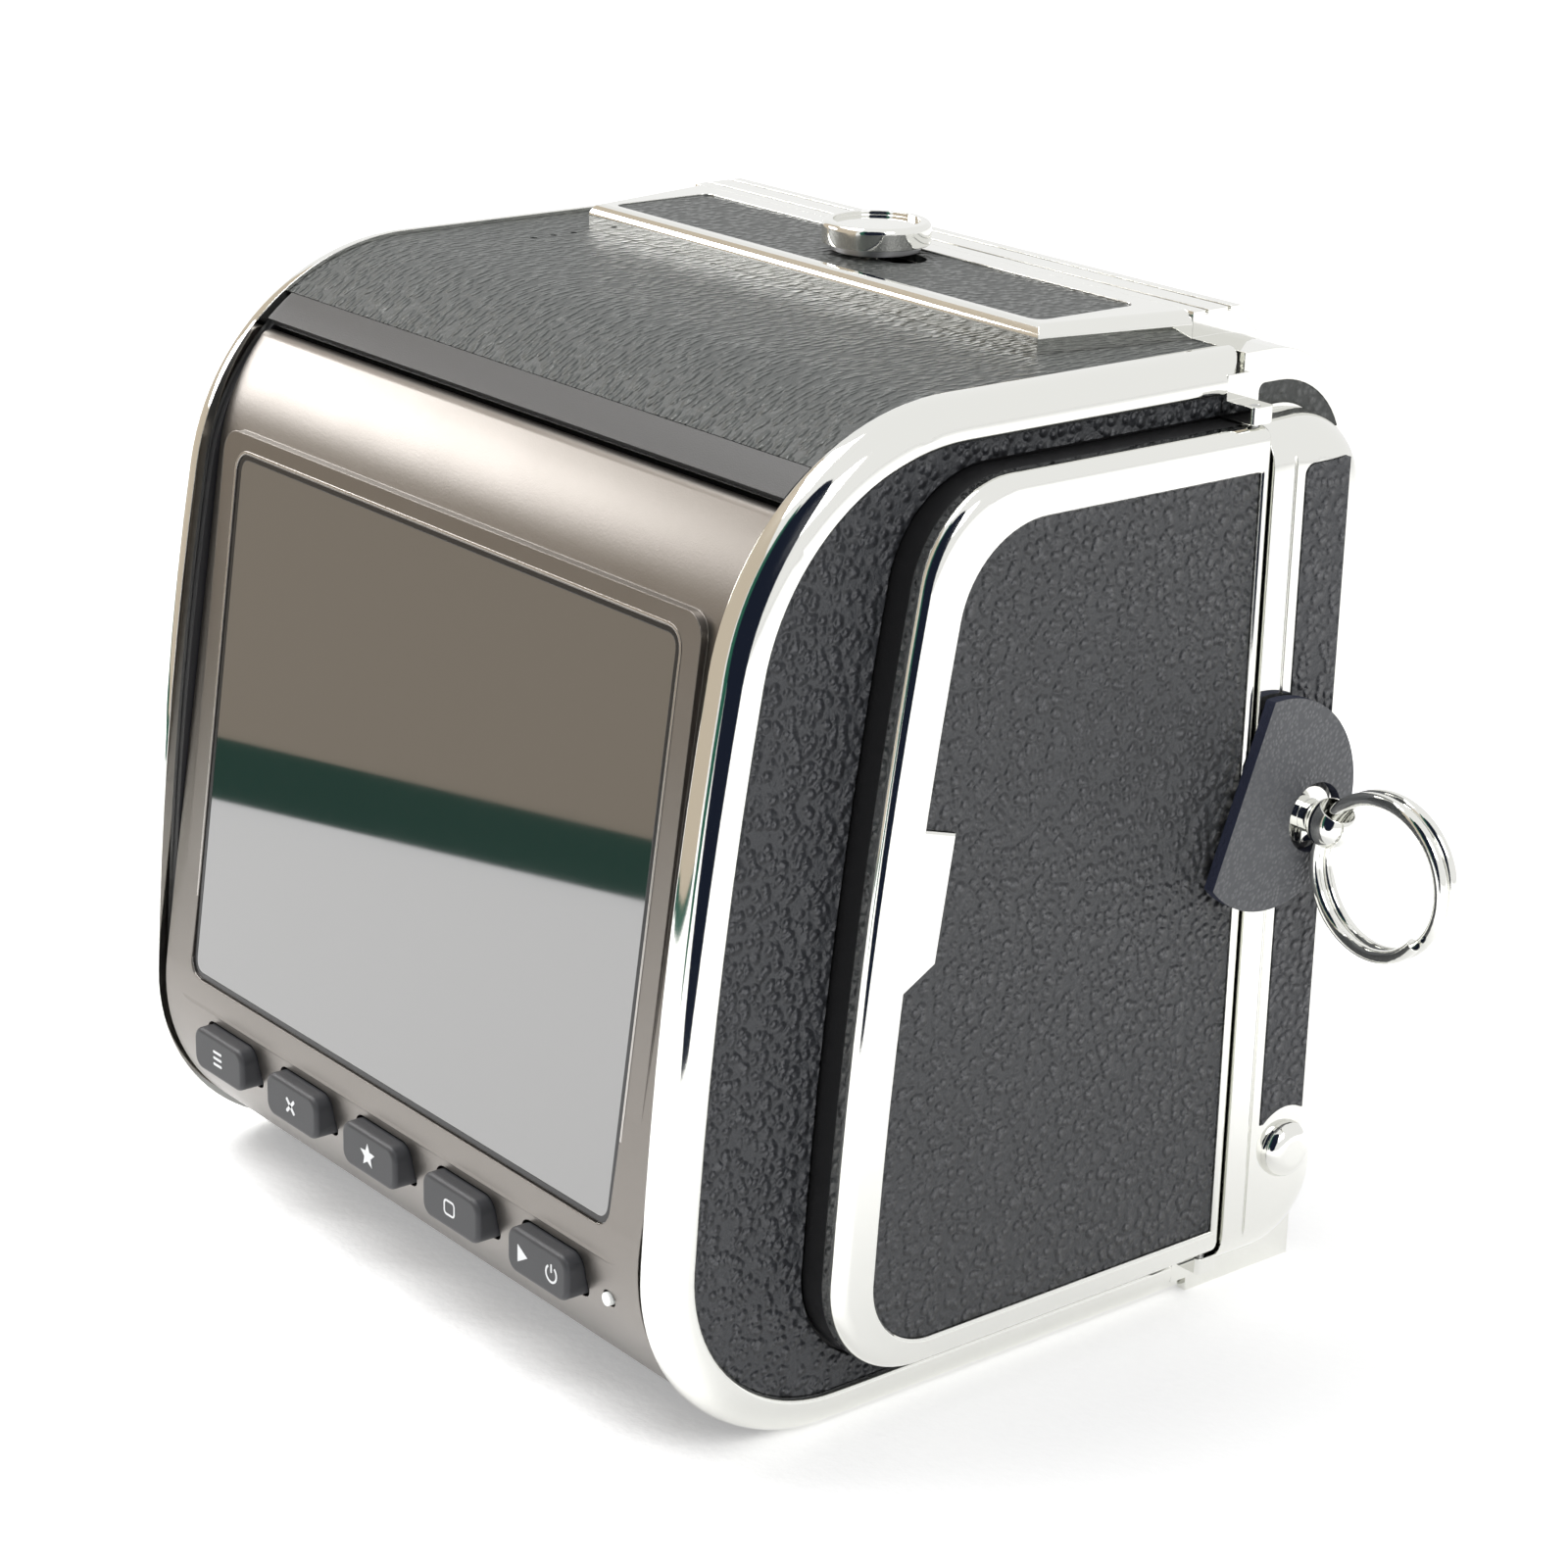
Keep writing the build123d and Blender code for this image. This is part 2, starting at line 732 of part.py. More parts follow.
# Back cover of the screen unit
with BuildPart() as cover:
    with BuildSketch(side(-pocket_half + fit_gap)):
        add(leaning(*panel_sizes(panel_thick - cover_thick)))
        add(leaning(*panel_sizes(panel_thick)), mode=Mode.SUBTRACT)
        with Locations((0, (pocket_low + pocket_high) / 2)):
            Rectangle(2 * seam_back, pocket_high - pocket_low - 2 * fit_gap, mode=Mode.INTERSECT)
    extrude(amount=2 * (pocket_half - fit_gap))
keep(cover.part, "screen_cover")

glass = on_screen(glass_width - 2 * fit_gap, glass_height - 2 * fit_gap, glass_corner,
                  glass_recess, glass_recess + glass_thick)
keep(glass, "screen_glass")
display = on_screen(display_width - 2 * fit_gap, display_height - 2 * fit_gap, 0,
                    glass_recess + glass_thick, glass_recess + glass_thick + display_thick)
keep(display, "display_panel")

# Short hinge pins, one at each top corner of the screen
with BuildPart() as hinge_pins:
    for across in (-1, 1):
        middle = across * (housing_half - hinge_pin_length / 2 + hinge_pin_seat)
        with BuildSketch(side(middle)):
            with Locations((hinge_back, hinge_height)):
                Circle(hinge_pin_radius)
        extrude(amount=hinge_pin_length / 2, both=True)
keep(hinge_pins.part, "hinge_pins")

# Five rubber keys with inner flanges, and the board they press on
def key_cap(across):
    with BuildPart() as key:
        with BuildSketch(wall(button_face_back)):
            with Locations((-across, button_level)):
                RectangleRounded(button_width, button_height, button_corner)
        extrude(amount=button_depth)
        fillet(key.faces().sort_by(Axis.Y)[0].edges(), button_edge)
        with BuildSketch(wall(button_face_back + button_depth)):
            with Locations((-across, button_level)):
                RectangleRounded(button_width + 2 * flange_grow, button_height + 2 * flange_grow,
                                 button_corner)
        extrude(amount=flange_thick)
    return key.part


key_names = ("menu_key", "cross_key", "star_key", "square_key", "play_key")
for step, key_name in zip(button_steps, key_names):
    keep(key_cap(step * button_pitch), key_name)

board_face = button_face_back + button_depth + flange_thick + button_travel + button_play
with BuildPart() as key_board:
    with BuildSketch(wall(board_face)):
        with Locations((0, button_level)):
            Rectangle(2 * pocket_half - 4 * fit_gap, button_height + 2 * flange_grow)
    extrude(amount=board_thick)
    with BuildSketch(wall(board_face)):
        with Locations(*[(step * button_pitch, button_level) for step in button_steps]):
            Circle(switch_radius)
    extrude(amount=-button_play / 2)
keep(key_board.part, "key_board")

with BuildPart() as light:
    with BuildSketch(wall(light_back)):
        with Locations((-light_across, light_level)):
            Circle(light_radius)
    extrude(amount=light_length)
keep(light.part, "status_light")

# Battery, card cage, cards and port stand behind the doors
with BuildPart() as battery:
    with BuildSketch(level(battery_floor)):
        with Locations((-housing_half + battery_size[0] / 2, battery_rear + battery_size[1] / 2)):
            RectangleRounded(battery_size[0], battery_size[1], battery_corner)
    extrude(amount=battery_size[2])
keep(battery.part, "battery")

with BuildPart() as bay:
    with BuildSketch(side(-housing_half)):
        with Locations((battery_rear + battery_size[1] / 2, battery_floor + battery_size[2] / 2)):
            Rectangle(battery_size[1] + 2 * (bay_gap + bay_wall), battery_size[2] + 2 * (bay_gap + bay_wall))
            Rectangle(battery_size[1] + 2 * bay_gap, battery_size[2] + 2 * bay_gap, mode=Mode.SUBTRACT)
    extrude(amount=battery_size[0] + bay_gap)
    with BuildSketch(side(-housing_half + battery_size[0] + bay_gap)):
        with Locations((battery_rear + battery_size[1] / 2, battery_floor + battery_size[2] / 2)):
            Rectangle(battery_size[1] + 2 * (bay_gap + bay_wall), battery_size[2] + 2 * (bay_gap + bay_wall))
    extrude(amount=bay_wall)
keep(bay.part, "battery_bay")

card_middle = card_rear + card_size[1] / 2
cage_low = card_levels[0] - card_size[2] / 2 - cage_wall
cage_high = card_levels[1] + card_size[2] / 2 + cage_wall
with BuildPart() as cage:
    with BuildSketch(side(housing_half - cage_length)):
        with Locations((card_middle, (cage_low + cage_high) / 2)):
            Rectangle(card_size[1] + 2 * cage_wall - 2 * fit_gap, cage_high - cage_low - 2 * fit_gap)
    extrude(amount=cage_length)
    with BuildSketch(side(housing_half - cage_length + cage_wall)):
        with Locations(*[(card_middle, height) for height in card_levels]):
            Rectangle(card_size[1] + 2 * card_gap, card_size[2] + 2 * card_gap)
    extrude(amount=cage_length, mode=Mode.SUBTRACT)
keep(cage.part, "card_cage")

with BuildPart() as cards:
    for height in card_levels:
        with BuildSketch(level(height)):
            with Locations((housing_half + card_stand - card_size[0] / 2, card_middle)):
                Rectangle(card_size[0], card_size[1])
        extrude(amount=card_size[2] / 2, both=True)
keep(cards.part, "memory_cards")

with BuildPart() as port:
    with BuildSketch(side(housing_end)):
        with Locations((port_rear + port_size[1] / 2, port_level)):
            RectangleRounded(port_size[1], port_size[2], port_size[2] / 2 - fit_gap)
    extrude(amount=-port_size[0])
    with BuildSketch(side(housing_end)):
        with Locations((port_rear + port_size[1] / 2, port_level)):
            RectangleRounded(port_mouth[1], port_mouth[2], port_mouth[2] / 2 - fit_gap)
    extrude(amount=-port_mouth[0], mode=Mode.SUBTRACT)
keep(port.part, "data_port")

# Main board with its chips, then the sensor unit in the housing's front wall
with BuildPart() as board:
    with BuildSketch(wall(main_board_back)):
        with Locations((0, (board_low + board_high) / 2)):
            Rectangle(2 * board_half, board_high - board_low)
    extrude(amount=board_thick)
    with BuildSketch(wall(main_board_back + board_thick)):
        for chip_across, chip_level, chip_side in chips:
            with Locations((-chip_across, chip_level)):
                Rectangle(chip_side, chip_side)
    extrude(amount=chip_thick)
    with BuildSketch(wall(main_board_back + board_thick)):
        with Locations((0, (board_low + board_high) / 2)):
            with GridLocations(2 * (board_half - post_inset), board_high - board_low - 2 * post_inset, 2, 2):
                Circle(post_radius)
    extrude(amount=seam_back - housing_wall - main_board_back - board_thick)
keep(board.part, "main_board")

with BuildPart() as sensor_frame:
    with BuildSketch(wall(seam_back - housing_wall)):
        with Locations((0, lens_level)):
            Rectangle(*sensor_frame_size)
            Rectangle(sensor_size[0] + 2 * fit_gap, sensor_size[1] + 2 * fit_gap, mode=Mode.SUBTRACT)
    extrude(amount=sensor_frame_thick)
    with BuildSketch(wall(seam_back - housing_wall)):
        with Locations((0, lens_level)):
            Rectangle(sensor_frame_size[0] + 2 * sensor_flange, sensor_frame_size[1] + 2 * sensor_flange)
            Rectangle(sensor_size[0] - 2 * sensor_flange, sensor_size[1] - 2 * sensor_flange,
                      mode=Mode.SUBTRACT)
    extrude(amount=-sensor_flange_thick)
keep(sensor_frame.part, "sensor_frame")

with BuildPart() as sensor:
    with BuildSketch(wall(image_plane_back)):
        with Locations((0, lens_level)):
            Rectangle(*sensor_size)
    extrude(amount=-sensor_thick)
keep(sensor.part, "image_sensor")

with BuildPart() as sensor_glass:
    with BuildSketch(wall(image_plane_back)):
        with Locations((0, lens_level)):
            Rectangle(*sensor_glass_size)
    extrude(amount=sensor_glass_thick)
keep(sensor_glass.part, "sensor_glass")

# Top plate with its leather inset, and the knob that slides to free the digital back
def plate_plan(grow, rear, reach):
    with BuildSketch() as plan:
        with BuildLine():
            slope = (plate_front_half - plate_rear_half) / (seam_back - plate_rear)
            front_half = plate_rear_half + slope * (reach - plate_rear) + grow
            Polyline((-front_half, reach), (-plate_rear_half - grow, rear), (plate_rear_half + grow, rear),
                     (front_half, reach), close=True)
        make_face()
    return plan.sketch


def knob_slot(radius):
    with BuildSketch() as slot:
        with Locations((knob_travel / 2, knob_back)):
            SlotOverall(2 * (radius + slot_play) + knob_travel, 2 * (radius + slot_play))
    return slot.sketch


with BuildPart() as top_plate:
    with BuildSketch(level(body_height - housing_skin)):
        add(plate_plan(0, plate_rear, seam_back))
    extrude(amount=plate_top - body_height + housing_skin)
    rims = [edge for edge in top_plate.faces().sort_by(Axis.Z)[-1].edges()
            if (edge @ 0.5).Y < seam_back - thread_back - fit_gap]
    fillet(rims, plate_edge)
    with BuildSketch(level(plate_top - inset_depth)):
        with Locations((0, (inset_rear + inset_front) / 2)):
            RectangleRounded(2 * inset_half, inset_front - inset_rear, inset_corner)
    extrude(amount=overrun, mode=Mode.SUBTRACT)
    with BuildSketch(level(body_height - housing_skin)):
        add(knob_slot(stem_radius))
    extrude(amount=overrun, mode=Mode.SUBTRACT)
keep(top_plate.part, "top_plate")

with BuildPart() as inset:
    with BuildSketch(level(plate_top - inset_depth)):
        with Locations((0, (inset_rear + inset_front) / 2)):
            RectangleRounded(2 * (inset_half - fit_gap), inset_front - inset_rear - 2 * fit_gap,
                             inset_corner)
        add(knob_slot(stem_radius), mode=Mode.SUBTRACT)
    extrude(amount=inset_depth - inset_drop)
keep(inset.part, "top_inset")

hook_top = body_height - housing_skin - housing_wall - fit_gap
with BuildPart() as knob:
    with BuildSketch(level(knob_base)):
        with Locations((0, knob_back)):
            Circle(knob_radius)
    extrude(amount=knob_top - knob_base)
    fillet(knob.faces().sort_by(Axis.Z)[-1].edges(), knob_edge)
    with BuildSketch(level(knob_top - knob_dish)):
        with Locations((0, knob_back)):
            Circle(knob_radius - 2 * knob_edge)
    extrude(amount=overrun, mode=Mode.SUBTRACT)
    with BuildSketch(level(hook_top)):
        with Locations((0, knob_back)):
            Circle(stem_radius)
    extrude(amount=knob_base - hook_top)
keep(knob.part, "release_knob")

with BuildPart() as collar:
    with BuildSketch(level(plate_top + 2 * fit_gap)):
        with Locations((0, knob_back)):
            Circle(collar_radius)
            Circle(stem_radius, mode=Mode.SUBTRACT)
    extrude(amount=knob_base - plate_top - 2 * fit_gap)
keep(collar.part, "knob_collar")

with BuildPart() as hook:
    with BuildSketch(level(hook_top)):
        with Locations((0, knob_back)):
            RectangleRounded(hook_size[0], hook_size[1], stem_radius / 2)
    extrude(amount=-hook_size[2])
keep(hook.part, "release_hook")

def strip_shape(shrink=0.0):
    # The cheek leather's outline, rounder at its front corner and cut round the stud
    with BuildSketch() as shape:
        with Locations(((strip_rear + strip_front) / 2, (strip_low + strip_high) / 2)):
            band = Rectangle(strip_front - strip_rear - 2 * shrink, strip_high - strip_low - 2 * shrink)
        corners = band.vertices().group_by(Axis.Y)[-1].sort_by(Axis.X)
        fillet(corners[0], strip_corner)
        fillet(corners[1], strip_front_corner)
        with Locations((stud_back, stud_level)):
            Circle(stud_clear + shrink, mode=Mode.SUBTRACT)
    return shape.sketch


def window_shape(shrink=0.0):
    # The shoulder leather's outline: a narrow band that bends down round the front corner
    middle_y, middle_z = window_front - window_corner, window_high - window_corner
    outer, inner = window_corner - shrink, window_corner - (window_high - window_low) + shrink
    with BuildSketch() as shape:
        with Locations(((window_rear + shrink + middle_y) / 2, (window_low + window_high) / 2)):
            band = Rectangle(middle_y - window_rear - shrink, window_high - window_low - 2 * shrink)
        fillet(band.vertices().group_by(Axis.X)[0], window_round)
        with BuildLine():
            CenterArc((middle_y, middle_z), outer, 0, 90)
            Line((middle_y, middle_z + outer), (middle_y, middle_z + inner))
            CenterArc((middle_y, middle_z), inner, 0, 90)
            Line((middle_y + inner, middle_z), (middle_y + outer, middle_z))
        make_face()
        with Locations((middle_y, window_foot + shrink - window_corner)):
            Rectangle(4 * window_corner, 2 * window_corner, mode=Mode.SUBTRACT)
    return shape.sketch


# Front body: a core, two cheeks that stand out of it, a top deck and the lens throat
with BuildPart() as front:
    with BuildSketch(side(-cheek_half)):
        with Locations(((seam_back + front_back) / 2, (cheek_low + cheek_high) / 2)):
            cheek = Rectangle(front_back - seam_back, cheek_high - cheek_low)
        fillet(cheek.vertices().group_by(Axis.X)[-1], cheek_corner)
    extrude(amount=2 * cheek_half)
    fillet(front.edges().filter_by(Axis.Z).group_by(Axis.Y)[-1], front_edge)
    with BuildSketch(side(-core_half)):
        with Locations(((seam_back + front_back) / 2, (body_height - core_drop) / 2)):
            Rectangle(front_back - seam_back, body_height - core_drop)
    extrude(amount=2 * core_half)
    crown = [edge for edge in front.edges().filter_by(Axis.X)
             if abs((edge @ 0.5).Y - front_back + thread_back) < fit_gap
             and abs((edge @ 0.5).Z - body_height + core_drop) < fit_gap]
    fillet(crown, crown_edge)
    with BuildSketch(side(-plate_front_half)):
        with BuildLine():
            Polyline((seam_back, body_height - core_drop), (seam_back, plate_top), (deck_back, plate_top),
                     (deck_front, deck_foot), (seam_back, deck_foot), close=True)
        make_face()
    extrude(amount=2 * plate_front_half)
    with BuildSketch(wall(seam_back)):
        with Locations((0, lens_level)):
            Rectangle(2 * chamber_half, 2 * chamber_tall)
    extrude(amount=chamber_depth, mode=Mode.SUBTRACT)
    with BuildSketch(wall(seam_back)):
        with Locations((0, lens_level)):
            Circle(throat_radius)
    extrude(amount=front_back, mode=Mode.SUBTRACT)
    with BuildSketch(level(0)):
        with Locations((0, thread_back)):
            Circle(bush_radius)
    extrude(amount=bush_length, mode=Mode.SUBTRACT)
    for groove in deck_grooves:
        with BuildSketch(level(plate_top)):
            with Locations((0, groove)):
                Rectangle(2 * cheek_half, groove_width)
        extrude(amount=-groove_width, mode=Mode.SUBTRACT)
    with BuildSketch(wall(front_back)):
        with Locations((-wheel_across, wheel_level)):
            Circle(wheel_bore - fit_gap)
    extrude(amount=wheel_thick)
    with BuildSketch(wall(front_back + wheel_thick)):
        with Locations((-wheel_across, wheel_level)):
            Circle(shutter_radius + button_play)
    extrude(amount=-wheel_thick - shutter_depth, mode=Mode.SUBTRACT)
    with BuildSketch(wall(front_back)):
        with Locations((-lens_key_across, lens_key_level)):
            Circle(lens_key_radius + button_play)
    extrude(amount=-shutter_depth, mode=Mode.SUBTRACT)
    for hand in (-1, 1):
        with BuildSketch(side(hand * (cheek_half - strip_depth))):
            add(strip_shape())
        extrude(amount=hand * overrun, mode=Mode.SUBTRACT)
        with BuildSketch(side(hand * (core_half - strip_depth))):
            add(window_shape())
        extrude(amount=hand * strip_depth, mode=Mode.SUBTRACT)
        with BuildSketch(side(hand * cheek_half)):
            with Locations((cheek_groove, (cheek_low + cheek_high) / 2)):
                Rectangle(groove_width, cheek_high - cheek_low - 2 * groove_inset)
        extrude(amount=-hand * groove_width / 2, mode=Mode.SUBTRACT)
keep(front.part, "front_frame")


def strip_leather():
    with BuildPart() as skin:
        with BuildSketch(side(cheek_half - strip_depth)):
            add(strip_shape(fit_gap))
            with Locations((thread_back + lug_forward, lug_level)):
                Circle(lug_flange + fit_gap, mode=Mode.SUBTRACT)
        extrude(amount=strip_depth + strip_proud)
    return skin.part


def window_leather():
    with BuildPart() as skin:
        with BuildSketch(side(core_half - strip_depth)):
            add(window_shape(fit_gap))
        extrude(amount=strip_depth - fit_gap)
    return skin.part


def dome_stud():
    with BuildPart() as stud:
        with BuildSketch(side(cheek_half)):
            with Locations((stud_back, stud_level)):
                Circle(stud_radius)
        extrude(amount=stud_height)
        fillet(stud.faces().sort_by(Axis.X)[-1].edges(), stud_height - fit_gap)
    return stud.part


eye_centre = Vector(lug_ball_across, lug_forward, lug_level)
tangent = Vector(sin(radians(ring_droop)), 0, cos(radians(ring_droop)))
outward = Vector(cos(radians(ring_droop)), 0, -sin(radians(ring_droop)))


def strap_lug():
    with BuildPart() as lug:
        with BuildSketch(side(cheek_half - strip_depth)):
            with Locations((thread_back + lug_forward, lug_level)):
                Circle(lug_flange)
        extrude(amount=strip_depth + lug_flange_thick)
        with BuildSketch(side(cheek_half)):
            with Locations((thread_back + lug_forward, lug_level)):
                Circle(lug_neck)
        extrude(amount=lug_ball_across - cheek_half)
        with Locations(eye_centre):
            Sphere(lug_ball)
        with BuildSketch(Plane(origin=eye_centre - tangent * lug_ball * 2, z_dir=tangent)):
            Circle(eye_radius)
        extrude(amount=4 * lug_ball, mode=Mode.SUBTRACT)
    return lug.part


def split_ring():
    # Two turns of round wire, with the eye where the turns lie evenly each side of it
    hub = eye_centre + outward * ring_radius - Vector(0, ring_pitch * (ring_turns / 2), 0)
    start = ring_turns / 2 - 1 / 2
    with BuildPart() as coil:
        with BuildLine():
            turns = Helix(ring_pitch, ring_pitch * ring_turns, ring_radius)
        with BuildSketch(turns ^ 0):
            Circle(wire_radius)
        sweep(path=turns, is_frenet=True)
    place = Plane(origin=hub, x_dir=(outward * -1).rotate(Axis.Y, -start * 360), z_dir=(0, 1, 0))
    return coil.part.moved(place.location)


def guard():
    with BuildPart() as pad:
        with BuildSketch(side(guard_start)):
            with BuildLine():
                Line(guard_top, guard_foot)
                ThreePointArc(guard_foot, guard_front, guard_top)
            make_face()
            with Locations((thread_back + lug_forward, lug_level)):
                Circle(guard_hole, mode=Mode.SUBTRACT)
        extrude(amount=guard_thick)
    return pad.part


for side_name in ("right", "left"):
    for piece, name in ((strap_lug(), "strap_lug"), (split_ring(), "split_ring"), (guard(), "ring_guard")):
        keep(piece if side_name == "right" else mirrored(piece), f"{name}_{side_name}")

# Like pieces that never part are kept in pairs
for piece, name in ((strip_leather(), "cheek_leathers"), (window_leather(), "shoulder_leathers"),
                    (dome_stud(), "dome_studs"), (door_pins(), "door_pins")):
    with BuildPart() as pair:
        add(piece)
        mirror(about=Plane.YZ)
    keep(pair.part, name)

# Front leather, lens mount, screws, contacts and the three front controls
with BuildPart() as front_leather:
    with BuildSketch(wall(front_back)):
        with Locations((0, (front_leather_low + front_leather_high) / 2)):
            RectangleRounded(2 * front_leather_half, front_leather_high - front_leather_low,
                             front_leather_corner)
        with Locations((0, lens_level)):
            Circle(mount_outer + fit_gap, mode=Mode.SUBTRACT)
        with Locations((-wheel_across, wheel_level)):
            Circle(wheel_radius + 2 * rib_radius, mode=Mode.SUBTRACT)
        with Locations((-lens_key_across, lens_key_level)):
            Circle(lens_key_radius + button_play, mode=Mode.SUBTRACT)
    extrude(amount=front_leather_thick)
keep(front_leather.part, "front_leather")

screw_spots = [(mount_screw_circle * cos(radians(turn * 360 / mount_screw_count + mount_screw_turn)),
                lens_level + mount_screw_circle * sin(radians(turn * 360 / mount_screw_count
                                                              + mount_screw_turn)))
               for turn in range(mount_screw_count)]
with BuildPart() as mount:
    with BuildSketch(wall(front_back)):
        with Locations((0, lens_level)):
            Circle(mount_outer)
            Circle(mount_inner, mode=Mode.SUBTRACT)
    extrude(amount=flange_back - front_back)
    fillet(mount.faces().sort_by(Axis.Y)[-1].outer_wire().edges(), mount_edge)
    for turn in range(bayonet_count):
        middle_turn = turn * 360 / bayonet_count + bayonet_turn
        with BuildSketch(wall(flange_back)):
            with BuildLine():
                first_turn = middle_turn - bayonet_sweep / 2
                CenterArc((0, lens_level), mount_inner + fit_gap, first_turn, bayonet_sweep)
                CenterArc((0, lens_level), bayonet_inner, first_turn, bayonet_sweep)
                for end in (-1, 1):
                    spoke = radians(middle_turn + end * bayonet_sweep / 2)
                    Line((bayonet_inner * cos(spoke), lens_level + bayonet_inner * sin(spoke)),
                         ((mount_inner + fit_gap) * cos(spoke),
                          lens_level + (mount_inner + fit_gap) * sin(spoke)))
            make_face()
        extrude(amount=-bayonet_thick)
    with Locations(*[wall(flange_back) * Location((spot_x, spot_z, 0)) for spot_x, spot_z in screw_spots]):
        CounterSinkHole(mount_screw_radius / 2 + fit_gap, mount_screw_radius + fit_gap,
                        flange_back - front_back + fit_gap)
keep(mount.part, "lens_mount")

with BuildPart() as screws:
    for spot_x, spot_z in screw_spots:
        with BuildSketch(wall(flange_back - mount_screw_radius / 2)):
            with Locations((spot_x, spot_z)):
                Circle(mount_screw_radius / 2)
        extrude(amount=front_back - flange_back + mount_screw_radius / 2)
        with BuildSketch(wall(flange_back - screw_head_drop)):
            with Locations((spot_x, spot_z)):
                Circle(mount_screw_radius - screw_head_drop)
        extrude(amount=-mount_screw_radius / 2, taper=45)
        with BuildSketch(wall(flange_back - screw_head_drop)):
            with Locations((spot_x, spot_z)):
                for angle in (0, 90):
                    Rectangle(mount_screw_radius, screw_slot, rotation=angle)
        extrude(amount=-screw_slot, mode=Mode.SUBTRACT)
keep(screws.part, "mount_screws")

with BuildPart() as contacts:
    with BuildSketch(wall(flange_back - contact_drop)):
        with BuildLine():
            first_turn = contact_turn - contact_sweep / 2
            CenterArc((0, lens_level), mount_inner - fit_gap, first_turn, contact_sweep)
            CenterArc((0, lens_level), contact_inner, first_turn, contact_sweep)
            for end in (-1, 1):
                spoke = radians(contact_turn + end * contact_sweep / 2)
                Line((contact_inner * cos(spoke), lens_level + contact_inner * sin(spoke)),
                     ((mount_inner - fit_gap) * cos(spoke),
                      lens_level + (mount_inner - fit_gap) * sin(spoke)))
        make_face()
    extrude(amount=-contact_depth)
    pins = [Location((contact_middle * cos(radians(contact_turn + step * contact_step)),
                      lens_level + contact_middle * sin(radians(contact_turn + step * contact_step)), 0))
            for step in range(-contact_pairs, contact_pairs + 1)]
    with BuildSketch(wall(flange_back - contact_drop)):
        with Locations(*pins):
            Circle(contact_pin)
    extrude(amount=contact_pin)
keep(contacts.part, "contact_block")

with BuildPart() as wheel:
    with BuildSketch(wall(front_back + fit_gap)):
        with Locations((-wheel_across, wheel_level)):
            Circle(wheel_radius)
            with PolarLocations(wheel_radius, wheel_ribs):
                Circle(rib_radius)
            Circle(wheel_bore, mode=Mode.SUBTRACT)
    extrude(amount=wheel_thick - fit_gap)
keep(wheel.part, "scroll_wheel")


def round_button(across, height, radius, proud, depth):
    with BuildPart() as button:
        with BuildSketch(wall(front_back + proud)):
            with Locations((-across, height)):
                Circle(radius)
        extrude(amount=-proud - depth)
        fillet(button.faces().sort_by(Axis.Y)[-1].edges(), button_edge)
    return button.part


keep(round_button(wheel_across, wheel_level, shutter_radius, shutter_proud,
                  shutter_depth - 2 * shutter_travel), "shutter_button")
keep(round_button(lens_key_across, lens_key_level, lens_key_radius, lens_key_proud,
                  shutter_depth - 2 * shutter_travel), "lens_release")

with BuildPart() as bush:
    with BuildSketch(level(0)):
        with Locations((0, thread_back)):
            Circle(bush_radius - fit_gap)
    extrude(amount=bush_length - fit_gap)
    with BuildSketch(level(0)):
        with Locations((0, thread_back)):
            Circle(thread_radius)
    extrude(amount=thread_length, mode=Mode.SUBTRACT)
keep(bush.part, "tripod_bush")
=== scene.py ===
"""Studio scene of a medium format digital camera, seen from behind, above and its right side."""
from math import radians, sin

import bmesh
import bpy
from mathutils import Matrix, Vector


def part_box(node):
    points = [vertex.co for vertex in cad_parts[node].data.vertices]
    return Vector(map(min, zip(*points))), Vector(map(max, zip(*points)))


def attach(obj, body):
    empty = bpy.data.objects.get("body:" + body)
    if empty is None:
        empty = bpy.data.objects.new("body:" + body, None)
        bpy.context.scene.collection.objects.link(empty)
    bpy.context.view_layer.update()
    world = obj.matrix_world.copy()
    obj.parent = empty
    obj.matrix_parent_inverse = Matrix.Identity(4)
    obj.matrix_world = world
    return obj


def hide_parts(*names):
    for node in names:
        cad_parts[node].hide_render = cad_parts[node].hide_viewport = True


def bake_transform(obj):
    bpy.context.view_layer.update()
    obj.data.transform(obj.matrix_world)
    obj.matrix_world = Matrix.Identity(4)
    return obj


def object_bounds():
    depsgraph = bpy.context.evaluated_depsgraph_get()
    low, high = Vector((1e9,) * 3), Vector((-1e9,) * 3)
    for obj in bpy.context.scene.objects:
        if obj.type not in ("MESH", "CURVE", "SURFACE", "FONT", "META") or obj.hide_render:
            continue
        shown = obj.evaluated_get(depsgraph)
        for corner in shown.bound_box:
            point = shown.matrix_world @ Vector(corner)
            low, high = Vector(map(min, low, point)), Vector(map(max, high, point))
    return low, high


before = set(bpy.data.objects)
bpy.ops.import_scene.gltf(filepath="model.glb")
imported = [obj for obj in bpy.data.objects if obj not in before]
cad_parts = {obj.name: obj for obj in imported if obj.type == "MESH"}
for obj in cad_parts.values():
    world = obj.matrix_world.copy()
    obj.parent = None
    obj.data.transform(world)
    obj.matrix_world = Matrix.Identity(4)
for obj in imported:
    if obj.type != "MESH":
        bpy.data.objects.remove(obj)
cad_low, cad_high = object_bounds()

mm = 0.001
rear_line = -67.2 * mm          # rearmost line of the chrome trims


# Material makers
def main_shader(finish):
    return finish.node_tree.nodes["Principled BSDF"]


def blank(name, colour, roughness, metallic=0.0):
    """A new material with its own constants on its shader, ready for a pattern."""
    finish = bpy.data.materials.new(name)
    finish.use_nodes = True
    shader = main_shader(finish)
    shader.inputs["Base Color"].default_value = (*colour, 1)
    shader.inputs["Roughness"].default_value = roughness
    shader.inputs["Metallic"].default_value = metallic
    return finish


